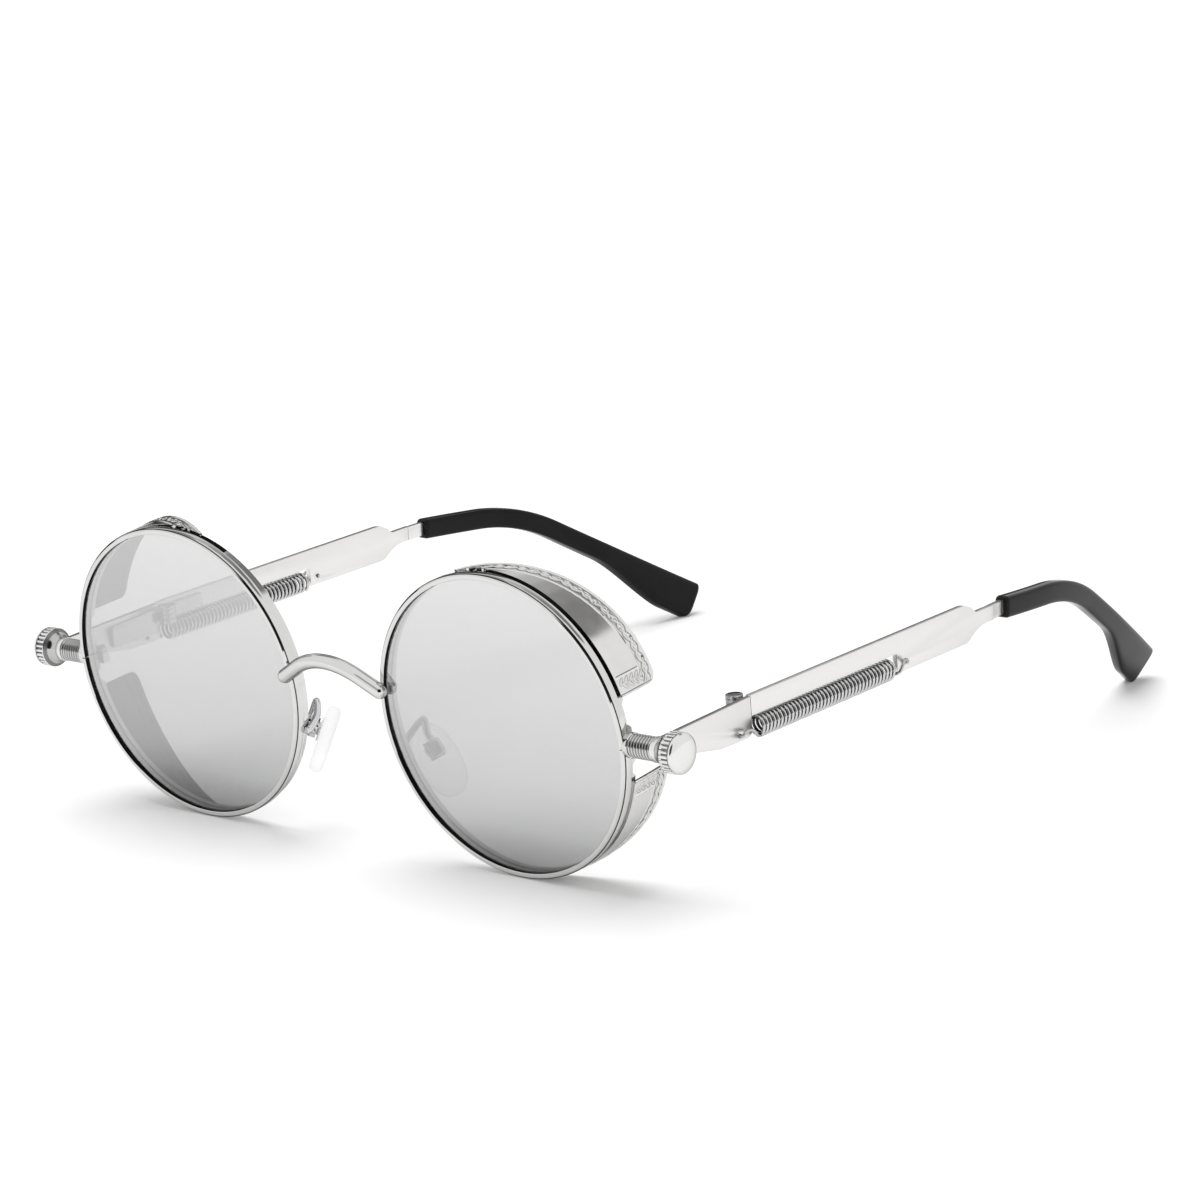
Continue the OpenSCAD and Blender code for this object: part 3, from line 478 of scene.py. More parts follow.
# A rim's section: radii from the eye's centre and places behind the rim's front face. The shields
# lie in the step behind the band, and the flange is cut away where the bolt stands
rimShape = {"eye": 25.0, "outer": 26.0, "seat": 25.6, "groove": 25.3,
            # grooveDark is where the groove's painted shade ends, and line is where the chamfer's fine line
            # is painted dark
            "band": 1.7, "flange": 2.4, "depth": 3.2, "grooveFrom": 0.53, "grooveDark": 1.15,
            "grooveTo": 2.27, "chamfer": 0.36, "lip": 0.06, "soft": 0.05, "ease": 0.1,
            "line": {"inset": (0.03, 0.2), "y": (0.2, 0.365)}, "spacing": 71.6, "slit": 0.2, "steps": 240,
            "flangeGaps": ((7, 15.5), (-12.5, -7)), "shielded": ((17.5, 118),)}
eyePlace = Matrix.Translation((rimShape["spacing"] / 2, 0, 0))


def withinAny(angle, spans):
    return any(low < angle < high for low, high in spans)


def makeRim():
    s = rimShape
    eye, outer, seat, groove = s["eye"], s["outer"], s["seat"], s["groove"]
    band, flange, depth, lip = s["band"], s["flange"], s["depth"], s["lip"]
    soft, ease, c = s["soft"], s["ease"], s["chamfer"]
    slant = outer - c  # where the chamfer starts
    outline = [(eye + lip, 0), (slant - soft, 0), (slant + soft * 0.3, soft * 0.3),  # the front face
               (slant + 0.2, 0.2), (slant + 0.18, 0.26), (slant + 0.28, 0.36),  # the fine line in the chamfer
               (outer - 0.015, c - 0.015), (outer, c + soft),
               (outer, band - 0.12), (outer - 0.03, band - 0.04), (outer - ease, band),  # the band's back
               (seat + soft, band), (seat, band + soft), (seat, flange - soft),  # the step for the shields
               (seat, depth - ease), (seat - ease, depth),  # the flange
               (eye + ease, depth), (eye, depth - ease),
               (eye, s["grooveTo"]), (groove, s["grooveTo"]), (groove, s["grooveDark"]),  # the lens groove
               (groove, s["grooveFrom"]), (eye, s["grooveFrom"]), (eye, lip), (eye + lip / 2, lip / 2)]
    half = math.degrees(s["slit"] / 2 / eye)
    obj = turned(outline, steps=s["steps"], sweep=360 - 2 * half, start=half)
    # The flange stops short of the bolt: there it is pressed all but flat, so that no face collapses
    for vertex in obj.data.vertices:
        angle = math.degrees(math.atan2(vertex.co.z, vertex.co.x))
        if withinAny(angle, s["flangeGaps"]) and vertex.co.y > flange:
            vertex.co.y = flange + 0.02 * (vertex.co.y - flange)
    # Painted shade before the lens and in the step under a shield, light behind the lens, and painted shade
    # and painted dark reflection in the fine line
    (lineInner, lineOuter), (lineFrom, lineTo) = s["line"]["inset"], s["line"]["y"]

    def choose(face):
        at = face.center
        radius, angle = math.hypot(at.x, at.z), math.degrees(math.atan2(at.z, at.x))
        inside = radius < groove + 0.01
        beforeLens = inside and lip < at.y < s["grooveDark"]
        behindLens = inside and s["grooveDark"] < at.y
        inLine = lineFrom < at.y < lineTo and lineInner < outer - radius < lineOuter
        underShield = (abs(radius - seat) < soft + 0.01 and at.y > band + 0.02
                       and withinAny(angle, s["shielded"]))
        return 1 if beforeLens or underShield else 2 if behindLens else 3 if inLine else 0
    return marked(obj, choose)


onBothSides(makeRim(), "round_rim", ("polishedSilver", "paintedShadeBlack", "innerSilver", "paintedLineShade"),
            "front", "rim", 30, eyePlace)

# Both faces of a lens are crowned alike
lensShape = {"radius": 25.28, "front": 0.55, "thick": 1.55, "crown": 0.55, "rings": 14, "steps": 160}


def makeLens():
    s = lensShape
    curve = (s["radius"] ** 2 + s["crown"] ** 2) / (2 * s["crown"])

    def crowned(r, y):
        return y - (math.sqrt(curve ** 2 - r ** 2) - (curve - s["crown"]))
    radii = [s["radius"] * i / s["rings"] for i in range(s["rings"] + 1)]
    outline = [(r, crowned(r, s["front"])) for r in radii]
    outline += [(r, crowned(r, s["front"] + s["thick"])) for r in reversed(radii)]
    return marked(turned(outline, steps=s["steps"]), lambda face: face.normal.y > -0.5)


onBothSides(makeLens(), "mirror_lens", ("mirrorLens", "lensBack"), "front", "lens",
            40, eyePlace)
print("rims and lenses made")

# The bridge is a round bar, bent to an arch with two straight legs that lie on the rims
bridgeShape = {"radius": 1.27, "arch": 13, "half": 32, "top": 7.62, "lean": 15, "lap": 0.95, "y": -0.6,
               "back": -0.02, "onRim": 2, "lift": 0.6,
               "legSteps": 12, "archSteps": 16, "fine": 6, "sides": 10}


def makeBridge():
    s = bridgeShape
    half, arch, reach, onRim = math.radians(s["half"]), s["arch"], s["radius"], s["onRim"]
    crown = s["top"] - arch
    leg = Vector((arch * math.sin(half), 0, crown + arch * math.cos(half)))
    endX = rimShape["spacing"] / 2 - rimShape["outer"] + s["lap"]
    footZ = leg.z - (endX - leg.x) * math.tan(half)
    tip = Vector((endX, 0, footZ)) + Vector((math.cos(half), 0, -math.sin(half))) * reach
    rightHalf = [tip.lerp(leg, i / s["legSteps"]) for i in range(s["legSteps"])]
    for i in range(s["archSteps"] + 1):
        a = half * (1 - i / s["archSteps"])
        rightHalf.append(Vector((arch * math.sin(a), 0, crown + arch * math.cos(a))))
    points = rightHalf + [Vector((-p.x, 0, p.z)) for p in reversed(rightHalf[:-1])]
    # The ends are rounded off, and have more rings for it
    rings = []
    for a, b in zip(points, points[1:]):
        nearEnd = (a - points[0]).length < onRim or (b - points[-1]).length < onRim
        parts = s["fine"] if nearEnd else 2
        rings += [a.lerp(b, k / parts) for k in range(parts)]
    rings.append(points[-1])
    length = [0]
    for a, b in zip(rings, rings[1:]):
        length.append(length[-1] + (b - a).length)
    radii = []
    for far in length:
        near = min(far, length[-1] - far)
        radii.append(math.sqrt(max(0.0004, 1 - (1 - min(1, near / reach)) ** 2)))
    obj = bar(rings, s["radius"], s["sides"], radii)
    moved(obj, Matrix.Translation((0, s["y"], footZ))
          @ Matrix.Rotation(math.radians(s["lean"]), 4, "X") @ Matrix.Translation((0, 0, -footZ)))
    # Its back is filed flat where it lies on the rims
    for vertex in obj.data.vertices:
        inward = endX - abs(vertex.co.x)
        if inward < onRim:
            vertex.co.y = min(vertex.co.y, s["back"])
        elif inward < 2 * onRim:
            vertex.co.y = min(vertex.co.y, s["back"] + (inward / onRim - 1) * s["lift"])
    return cleaned(obj)


bridge = moved(smoothed(makeBridge(), 50), frontFrame)
handOver(bridge, "bridge_bar", "polishedSilver", "front", "bridge")
print("bridge made")

# The side shields are sheet, with angles round the rim in degrees: each ends at "end", and is deepest
# towards "dir", from where its back edge slants by "tilt"
shieldShape = {"inner": 25.62, "thick": 0.5, "front": 2.4, "corner": 1.8, "lean": 0.5, "under": 0.25,
               "columns": 300, "rows": 58, "crowd": 0.18,
               "levels": {"upper": {"end": 17, "dir": 28, "tilt": 23, "depth": 11.4, "flip": 1},
                          "lower": {"end": 14, "dir": 12, "tilt": 20, "depth": 11.1, "flip": -1}}}
# Their border: a bead along the edge, a line, and between them two waves that cross and close round
# a drop; each wave has its way, phase, half width and height, and a drop its half width and height
pressing = {"border": 2.9, "bead": 0.22, "beadHigh": 0.16, "line": 0.13, "lineWide": 0.17, "wave": 3.7,
            "swing": 0.52, "middle": 1.57, "step": 0.12, "drop": (0.26, 0.20),
            "waves": ((1, 0.0, 0.20, 0.21), (-1, 0.55, 0.16, 0.18)),
            # flank widens each ridge's slopes; then the painted shade line beside the ridges: how many half
            # widths out it lies, its width, and the ground height above which it fades; reach is how far
            # ridges are looked for
            "flank": 1.5, "outlineAt": 1.7, "outlineWide": 0.14, "outlineLow": 0.08, "reach": 0.55}
# Along the free end: a stem with slanting leaves on either side by turns, and a line beside it
sprig = {"pairs": 5, "from": 0.7, "until": 1.5, "level": 1.85, "stem": (0.09, 0.12), "leafWide": 0.17,
         # shade is how strong the leaves' painted shade is
         "leafHigh": 0.19, "reach": 0.75, "rise": 0.72, "shade": 0.6, "room": 3.4,
         "line": 3.15, "lineWide": 0.18, "stemParts": 40, "leafParts": 8}


# Curves are lists of (along, inward, half width, height), in mm along the back edge and in from it
def borderCurves(length):
    s = pressing
    steps = int(length / s["step"])
    curves = []
    for way, phase, wide, high in s["waves"]:
        wave = []
        for i in range(steps + 1):
            along = length * i / steps
            swing = s["swing"] * math.sin(2 * math.pi * along / s["wave"] + phase)
            wave.append((along, s["middle"] + way * swing, wide, high))
        curves.append(wave)
    for k in range(int(2 * length / s["wave"])):
        centre, slant = (k + 0.42) * s["wave"] / 2, 0.03 if k % 2 else -0.03
        curves.append([(centre + 0.14 * i, s["middle"] + slant * i, *s["drop"]) for i in range(-3, 4)])
    return curves


# The same for the free end, along it and in from it
def endCurves(width):
    s = sprig
    first, last, parts = s["from"], width - s["until"], s["stemParts"]
    stem = [first + (last - first) * i / parts for i in range(parts + 1)]
    curves = [[(along, s["level"], *s["stem"]) for along in stem]]
    for k in range(s["pairs"]):
        for way, later in ((1, 0), (-1, 0.5)):
            foot = first + 0.1 + (k + later) * (last - first - 0.3) / s["pairs"]
            leaf = []
            for i in range(s["leafParts"] + 1):
                part = i / s["leafParts"]
                wide = s["leafWide"] * (0.35 + 0.65 * math.sin(math.pi * (0.12 + 0.80 * part)))
                out = s["level"] + way * s["rise"] * (0.16 + part)
                leaf.append((foot + s["reach"] * part, out, wide, s["leafHigh"]))
            curves.append(leaf)
    return curves


def ridgeTree(curves):
    points = [point for curve in curves for point in curve]
    tree = KDTree(len(points))
    for i, point in enumerate(points):
        tree.insert((*point[:2], 0), i)
    tree.balance()
    return tree, points


# The height of the pressing at a place, and how much painted shade darkens the low ground beside its ridges
def ridgeHeight(tree, points, a, b):
    s = pressing
    best, outline = 0, 0
    for _, i, distance in tree.find_range((a, b, 0), s["reach"]):
        wide, high = points[i][2:]
        flank = wide * s["flank"]
        if distance < flank:
            best = max(best, high * (0.5 + 0.5 * math.cos(math.pi * (distance / flank))))
        outline = max(outline, 1 - abs(distance - wide * s["outlineAt"]) / s["outlineWide"])
    return best, outline * max(0, 1 - best / s["outlineLow"])


# A round-topped ridge: its height at a distance from its middle
def ridge(high, distance, wide):
    return high * max(0, 1 - (distance / wide) ** 2)


# The direction from the eye's axis to a face
def outwards(face):
    return Vector((face.center.x, 0, face.center.z))


def makeShield(level):
    s, p, e = shieldShape, pressing, sprig
    form = s["levels"][level]
    front, outer, corner = s["front"], s["inner"] + s["thick"], s["corner"]
    slope = outer * math.tan(math.radians(form["tilt"]))

    def depthAt(theta):
        return form["depth"] - slope * (1 - math.cos(theta - math.radians(form["dir"])))
    start = math.radians(form["end"])
    last = math.radians(form["dir"]) + math.acos(1 - (form["depth"] - front - s["under"]) / slope)
    length = outer * (last - start)
    border = ridgeTree(borderCurves(length))
    leaves = ridgeTree(endCurves(depthAt(start) - front))
    shade = {}

    def placeKey(point):
        return tuple(round(number, 4) for number in point)

    def place(u, v):
        along = length * (u + s["crowd"] * (u * u - u))  # columns crowd towards the free end
        theta = start + along / outer
        depth = depthAt(theta)
        # The border fades out where the shield gets too narrow for it
        full = min(1, max(0, (depth - front) / p["border"] - 0.15))
        if along < corner:
            depth -= corner - math.sqrt(max(0, corner ** 2 - (corner - along) ** 2))
        y = front + v * (depth - front)
        inward = depth - y
        edge = min(inward, along, length - along + 1)
        raised, outline = ridge(p["beadHigh"], edge - p["bead"], p["bead"]), 0.0
        if 0.5 < inward < p["border"] + 0.4 and along > 0.6:
            high, dark = ridgeHeight(*border, along, inward)
            line = ridge(p["line"], inward - p["border"], p["lineWide"])
            raised, outline = max(raised, high * full, line * full), max(outline, dark * full)
        if along < e["room"] and inward > p["border"] - 0.2 and y > front + 0.4:
            high, dark = ridgeHeight(*leaves, y - front, along)
            raised, outline = max(raised, high), max(outline, dark * e["shade"])
        if along < e["room"] and inward > p["border"] and y > front + 0.3:
            raised = max(raised, ridge(p["line"], along - e["line"], e["lineWide"]))
        r = outer + raised - s["lean"] * ((y - front) / form["depth"]) ** 2
        point = Vector((r * math.cos(theta), y, r * math.sin(theta) * form["flip"]))
        shade[placeKey(point)] = outline
        return point
    obj = wrapped(s["columns"], s["rows"], place)
    # Each point's painted shade is kept in an attribute that darkens the pressed silver there
    outlined = obj.data.attributes.new("outlined", "FLOAT", "POINT")
    for i, vertex in enumerate(obj.data.vertices):
        outlined.data[i].value = shade.get(placeKey(vertex.co), 0)
    editAll(obj)
    faceOutwards()
    # The face that carries the ornament looks outwards
    face = obj.data.polygons[len(obj.data.polygons) // 2]
    if face.normal.dot(outwards(face)) < 0:
        obj.data.flip_normals()
    modify(obj, "SOLIDIFY", thickness=s["thick"], offset=-1, use_even_offset=False)
    # The inner face, towards the eye, gets the painted shade
    return marked(obj, lambda face: face.normal.dot(outwards(face).normalized()) < -0.5)


for level in shieldShape["levels"]:
    onBothSides(makeShield(level), f"side_shield_{level}", ("pressedSilver", "paintedShadeGrey"),
                "front", f"shield_{level}", 60, eyePlace)
print("shields made")

# The bolt, knob and cap are turned about the bolt's axis, which runs along X
boltShape = {"x": 62.45, "back": 2.0, "radius": 2.0, "threadDeep": 0.27, "crests": 8, "length": 4.6,
             "collarRadius": 2.1, "collarLong": 0.65, "studRadius": 1.2, "studLong": 3.8, "steps": 64,
             # One tooth of the thread, as (height of the tooth, place along the pitch)
             "tooth": [(0, 0), (0.1, 0.10), (0.82, 0.33), (1, 0.45),
                       (1, 0.59), (0.82, 0.71), (0.1, 0.94), (0, 1)],
             "rootFrom": 0.42}
boltPlace = Matrix.Translation((0, boltShape["back"], 0))


def makeThread():
    s = boltShape
    pitch = s["length"] / s["crests"]
    root = s["radius"] - s["threadDeep"]
    obj = placed(bpy.ops.mesh.primitive_circle_add, vertices=len(s["tooth"]))
    for vertex, (high, along) in zip(obj.data.vertices, s["tooth"]):
        vertex.co = (along * pitch, root + high * s["threadDeep"], 0)
    cutEdges(obj, (0, len(s["tooth"]) - 1))
    modify(obj, "SCREW", axis="X", angle=2 * math.pi, screw_offset=pitch, iterations=s["crests"] + 3,
           steps=s["steps"], render_steps=s["steps"], use_merge_vertices=True, merge_threshold=weld["loose"])
    moved(obj, Matrix.Translation((s["x"] - 1.5 * pitch, 0, 0)))
    editAll(obj)
    bpy.ops.mesh.remove_doubles(threshold=weld["loose"])
    # The turns past both ends are cut off
    for plane, away in ((s["x"] - 0.05, -1), (s["x"] + s["length"] + 0.02, 1)):
        bpy.ops.mesh.select_all(action="SELECT")
        bpy.ops.mesh.bisect(plane_co=(plane, 0, 0), plane_no=(away, 0, 0), use_fill=True, clear_outer=True)
    faceOutwards()
    return obj


def makeBolt():
    s = boltShape
    x, r, thin = s["x"], s["collarRadius"], s["studRadius"]
    foot = x - s["collarLong"] - 0.2
    end, tip = x + s["length"], x + s["length"] + s["studLong"]
    collar = turned([(0, foot - 0.2), (r - 0.1, foot - 0.2), (r, foot), (r, x - 0.2), (r - 0.1, x - 0.05),
                     (r - 0.25, x), (0, x)], steps=s["steps"], axis="X")
    stud = turned([(0, end), (thin, end), (thin, tip), (0, tip)], steps=s["steps"] // 2, axis="X")
    bolt = joined(collar, makeThread(), stud)
    # The roots between the crests get painted shade
    rootFrom, rootTo = s["threadDeep"] * s["rootFrom"], s["threadDeep"] + 0.05

    def choose(face):
        at = face.center
        inRoot = rootFrom < s["radius"] - math.hypot(at.y, at.z) < rootTo
        return inRoot and x + 0.02 < at.x < end - 0.02
    return marked(bolt, choose)


onBothSides(makeBolt(), "threaded_bolt", ("polishedSilver", "paintedRootShade"),
            "front", "side_bolt", 30, boltPlace)

# The knob's section from its bore, and its places along the bolt's axis
knobShape = {"coneFrom": 68.09, "knurlFrom": 70.09, "knurlLong": 1.6, "bore": 1.23, "neck": 2.1,
             "radius": 3.4, "rows": 6, "grooves": 26, "grooveDeep": 0.24, "grooveWide": 0.62,
             "capFrom": 71.71, "capEdge": 0.4, "dome": 0.9, "domeRings": 14, "capSteps": 96}


def makeKnob():
    s = knobShape
    a, b, bore, neck = s["coneFrom"], s["knurlFrom"], s["bore"], s["neck"]
    c, r = b + s["knurlLong"], s["radius"]
    outline = [(bore, a), (neck - 0.1, a), (neck + 0.02, a + 0.08), (neck + 0.1, a + 0.5),  # the cone
               (neck + 0.3, a + 0.95), (neck + 0.68, a + 1.4),
               (r - 0.2, b - 0.28), (r - 0.06, b - 0.12), (r, b)]  # the ring
    outline += [(r, b + (s["knurlLong"] - 0.12) * i / s["rows"]) for i in range(1, s["rows"] + 1)]
    outline += [(r - 0.05, c - 0.05), (r - 0.15, c), (bore, c)]
    obj = turned(outline, steps=s["grooves"] * 10, axis="X")
    # The grooves are sunk into the ring, each round-bottomed
    for vertex in obj.data.vertices:
        radius = math.hypot(vertex.co.y, vertex.co.z)
        if radius > r - 0.2 and vertex.co.x > b + 0.12:
            turn = math.atan2(vertex.co.z, vertex.co.y) / (2 * math.pi) * s["grooves"]
            scale = 1 - ridge(s["grooveDeep"], 2 * (turn - round(turn)), s["grooveWide"]) / radius
            vertex.co.y *= scale
            vertex.co.z *= scale
    # Painted shade in the grooves and where the cone meets the ring, and a darker silver painted on the cone
    # as shade
    def choose(face):
        at = face.center
        inGroove = r - math.hypot(at.y, at.z) > s["grooveDeep"] * 0.55 and b + 0.1 < at.x < c - 0.06
        onCone = at.x < b - 0.2
        atRing = onCone and b - 0.62 < at.x
        return 2 if inGroove or atRing else 1 if onCone else 0
    return marked(obj, choose)


def makeCap():
    s = knobShape
    a, r, last = s["capFrom"], s["radius"] - 0.05, s["domeRings"]
    domeFrom, high = a + s["capEdge"] - 0.1, s["dome"] + 0.08
    outline = [(0, a), (r - 0.12, a), (r - 0.03, a + 0.06), (r, a + 0.15), (r, domeFrom)]
    for i in range(1, last):
        t = math.pi / 2 * i / last
        outline.append((r * math.cos(t) ** 0.82, domeFrom + high * math.sin(t) ** 1.1))
    outline.append((0, domeFrom + high))
    # Painted shade in the seam against the knob
    return marked(turned(outline, steps=s["capSteps"], axis="X"), lambda face: face.center.x < a + 0.12)


onBothSides(makeKnob(), "knurled_knob", ("knobSilver", "paintedConeShade", "paintedShadeGrey"),
            "front", "knob", 30, boltPlace)
onBothSides(makeCap(), "domed_cap", ("capSilver", "paintedShadeGrey"),
            "front", "knob_cap", 50, boltPlace)
print("bolts and knobs made")

# Plates, hinges, locks and screws have the CAD forms with eased edges: node, name, look, slot, body, ease
easedPieces = [
    ("end_plate", "front_plate", "satinSilver", "satin_plate", "front", 0.10),
    ("temple", "temple_plate", "satinSilver", "satin_plate", "temple_{side}", 0.10),
    ("front_hinge", "front_hinge_leaf", "screwSteel", "satin_plate", "front", 0.06),
    ("rear_hinge", "rear_hinge_leaf", "screwSteel", "satin_plate", "temple_{side}", 0.06),
    ("hinge_screw", "hinge_screw_head", "screwSteel", "small_screw", "front", 0.06),
    ("rim_lock", "rim_lock_block", "polishedSilver", "satin_plate", "front", 0.08),
    ("lock_screw", "lock_screw_pin", "screwSteel", "small_screw", "front", 0.04),
    ("pad_screw", "pad_screw_pin", "polishedSilver", "small_screw", "front", 0.04),
    ("pad_lug", "pad_eye", "padInsert", "pad_insert", "nose_pad_{side}", 0.05),
]
for node, name, look, slot, body, ease in easedPieces:
    onBothSides(eased(f"{node}_right", ease), name, look, body, node, 30)
print("plates and hinges made")

# The nose pads' frame: origin in the pad's middle, X away from the nose, Z along the pad
padShape = {"long": 13.2, "wide": 7.5, "thick": 2.4, "squareWide": 0.82, "squareLong": 0.9, "steps": 48,
            "rings": 24, "side": 13, "back": 8.2, "down": 11.7, "frontal": 31, "splay": 32}
padPlace = (Matrix.Translation((padShape["side"], padShape["back"], -padShape["down"]))
            @ Matrix.Rotation(math.radians(-padShape["frontal"]), 4, "Y")
            @ Matrix.Rotation(math.radians(-padShape["splay"]), 4, "Z"))


# A number raised to a power, with its sign kept
def bent(value, power):
    return math.copysign(abs(value) ** power, value)


# A drop of silicone: rings of an oval outline, from the middle of one face round the edge to the other
def makePad():
    s = padShape

    def place(u, v):
        turn = 2 * math.pi * u
        if v < 0.5:
            t = v * 2
            inset = 2.9 * (1 - t) if t < 0.7 else 0.87 * ((1 - t) / 0.3) ** 2
            x = -s["thick"] / 2 + 0.95 * max(0, (t - 0.55) / 0.45) ** 2
        else:
            t = (v - 0.5) * 2
            inset = 0.55 * (t / 0.35) ** 2 if t < 0.35 else 0.55 + 2.35 * (t - 0.35) / 0.65
            x = -0.25 + 1.45 * math.sin(min(1, t / 0.4) * math.pi / 2)
        return Vector((x, (s["wide"] / 2 - inset) * bent(math.cos(turn), s["squareWide"]),
                       (s["long"] / 2 - inset) * bent(math.sin(turn), s["squareLong"])))
    return wrapped(s["steps"], s["rings"], place, tube=True)


onBothSides(makePad(), "silicone_pad", "clearSilicone", "nose_pad_{side}", "nose_pad",
            60, padPlace)


# A curve through points, with each stretch in the same number of parts
def smoothLine(points, parts):
    line = []
    for i in range(len(points) - 1):
        a, b = points[max(i - 1, 0)], points[i]
        c, d = points[i + 1], points[min(i + 2, len(points) - 1)]
        for k in range(parts):
            t = k / parts
            line.append(0.5 * (2 * b + (c - a) * t + (2 * a - 5 * b + 4 * c - d) * t ** 2
                               + (3 * b - a - 3 * c + d) * t ** 3))
    return line + [points[-1]]


# The arm: a wire from the rim's flange, back and round to the clasp's top
armShape = {"wire": 1.2, "z": -7.4, "gap": 0.02, "bends": [(0.2, 5.2, 1.5), (1.6, 6.9, 3.2)],
            "parts": 8, "sides": 6}
# The clasp at its end, in the pad's frame: a rounded block with a channel for the pad's eye
claspShape = {"from": 1.8, "to": 4.2, "wide": 2.6, "low": 0.2, "high": 3.4, "wall": 0.5, "round": 0.8,
              "segments": 6}


def makeArm():
    s, clasp = armShape, claspShape
    away = rimShape["seat"] + s["wire"] / 2 + s["gap"]
    x = rimShape["spacing"] / 2 - math.sqrt(away ** 2 - s["z"] ** 2)
    onClasp = Vector((clasp["to"] - s["wire"] / 2 - 0.1, 0, clasp["high"] + s["gap"]))
    start = Vector((x, rimShape["band"] + s["gap"], s["z"]))
    line = [start, start + Vector((0, s["wire"], 0))]
    line += [Vector((x + right, back, s["z"] + up)) for right, back, up in s["bends"]]
    line += [padPlace @ (onClasp + Vector((0, 0, s["wire"]))), padPlace @ onClasp]
    return bar(smoothLine(line, s["parts"]), s["wire"] / 2, s["sides"])


def makeBlock(low, high):
    obj = placed(bpy.ops.mesh.primitive_cube_add, size=1)
    low, high = Vector(low), Vector(high)
    for vertex in obj.data.vertices:
        vertex.co = [low[i] + (vertex.co[i] + 0.5) * (high[i] - low[i]) for i in range(3)]
    return obj


def makeClasp():
    s = claspShape
    half, inner = s["wide"] / 2, s["wide"] / 2 - s["wall"]
    obj = makeBlock((s["from"] - s["round"], -half, s["low"]), (s["to"], half, s["high"]))
    modify(obj, "BEVEL", width=s["round"], segments=s["segments"], limit_method="NONE")
    channelTo = s["to"] - s["wall"]
    # Its channel is cut out, and its rounded face towards the pad is cut off flat
    channel = makeBlock((s["from"] - 2, -inner, s["low"] - 1), (channelTo, inner, s["high"] + 1))
    front = makeBlock((s["from"] - 2, -half - 1, s["low"] - 1), (s["from"], half + 1, s["high"] + 1))
    for cutter in (channel, front):
        modify(obj, "BOOLEAN", operation="DIFFERENCE", object=cutter)
        bpy.data.objects.remove(cutter)
    # The inside of the channel gets painted shade
    return marked(obj, lambda face: face.center.x < channelTo + 0.01 and abs(face.center.y) < inner + 0.01)


onBothSides(makeClasp(), "pad_clasp", ("padSteel", "paintedShadeBlack"), "front", "pad_box",
            40, padPlace)
onBothSides(makeArm(), "pad_arm_wire", "padSteel", "front", "pad_arm", 50)
print("pads made")

# The temples' frame: origin at the seam's top, Y along the temple
templeShape = {"hingeY": 24.4, "hingeZ": 1.02, "drop": 4.6,
               "plateX": 67.57, "plateLong": 58.5, "neckLong": 11}
templePlace = (Matrix.Translation((0, templeShape["hingeY"], templeShape["hingeZ"]))
               @ Matrix.Rotation(math.radians(-templeShape["drop"]), 4, "X"))

# The black tip: straight, round a bend and straight again, turned a little inwards all the way. It widens
# to a paddle, leans towards the head and has a slanting end, and its edges are rounded over "round"
tipShape = {"thick": 2.8, "high": 3.8, "paddle": 7.7, "straight": 14.2, "bendRadius": 41.6, "bend": 27.2,
            "rear": 36.4, "slope": 5.5, "inwardRadius": 205, "lean": 14, "slant": 15, "slantLong": 14,
            "top": -1.4, "widen": (0.64, 0.90), "square": 0.42, "round": 0.8, "crowd": 0.155,
            "sides": 40, "rings": 110}


def makeTip():
    s = tipShape
    start = templeShape["plateLong"] + templeShape["neckLong"]
    bendLong = s["bendRadius"] * math.radians(s["bend"])
    total = s["straight"] + bendLong + s["rear"]
    inwardFrom = templeShape["plateLong"] - 0.5

    def ease(k):
        k = min(1, max(0, k))
        return k * k * (3 - 2 * k)

    def turnAt(d):
        return math.radians(s["slope"] + s["bend"] * min(1, max(0, (d - s["straight"]) / bendLong)))

    def edge(d):
        a, first = turnAt(d), math.radians(s["slope"])
        s1, s3, r = min(d, s["straight"]), max(0, d - s["straight"] - bendLong), s["bendRadius"]
        return (start + s1 * math.cos(first) + r * (math.sin(a) - math.sin(first)) + s3 * math.cos(a),
                s["top"] - s1 * math.sin(first) - r * (math.cos(first) - math.cos(a)) - s3 * math.sin(a))

    # How much of its full section the tip has at a place: less at both ends, where it is rounded
    def full(d):
        near = min(1, d / s["round"])
        far = min(1, (total - d) / s["round"])
        return (1 - 0.17 * (1 - near) ** 2.2) * (1 - 0.2 * (1 - far) ** 2.2)

    def place(u, v):
        turn = -2 * math.pi * u
        # Rings lie closer together at both ends
        d = total * (v - s["crowd"] * math.sin(2 * math.pi * v))
        widenFrom, widenTo = (total * part for part in s["widen"])
        high = s["high"] + (s["paddle"] - s["high"]) * ease((d - widenFrom) / (widenTo - widenFrom))
        across = bent(math.cos(turn), s["square"]) * full(d) * s["thick"] / 2
        off = high / 2 * (1 + bent(math.sin(turn), s["square"]) * full(d))
        slanted = ease((d - total + s["slantLong"]) / s["slantLong"])
        along, level = edge(d - math.tan(math.radians(s["slant"])) * off * slanted)
        a = turnAt(d)
        lean = math.radians(s["lean"] * ease((d - s["straight"] - bendLong / 2) / s["rear"]))
        inward = max(0, along - inwardFrom) ** 2 / (2 * s["inwardRadius"])
        x = templeShape["plateX"] - inward + across * math.cos(lean) - off * math.sin(lean)
        drop = off * math.cos(lean) + across * math.sin(lean)
        return Vector((x, along - drop * math.sin(a), level - drop * math.cos(a)))
    return wrapped(s["sides"], s["rings"], place, tube=True)


onBothSides(makeTip(), "acetate_tip", "blackAcetate", "temple_{side}", "temple_tip",
            42, templePlace)
print("tips made")

# The springs have hooks at both ends and curls between
springShape = {"radius": 1.65, "wire": 0.28, "curls": 38, "start": 1.5, "long": 35.5, "level": -5.55,
               "hookFront": 3.2, "hookRear": 3.6, "hookShift": 0.3, "perCurl": 20, "hookParts": 3, "sides": 2,
               "hookShade": 0.35, "bend": (-2.0, 6.0)}
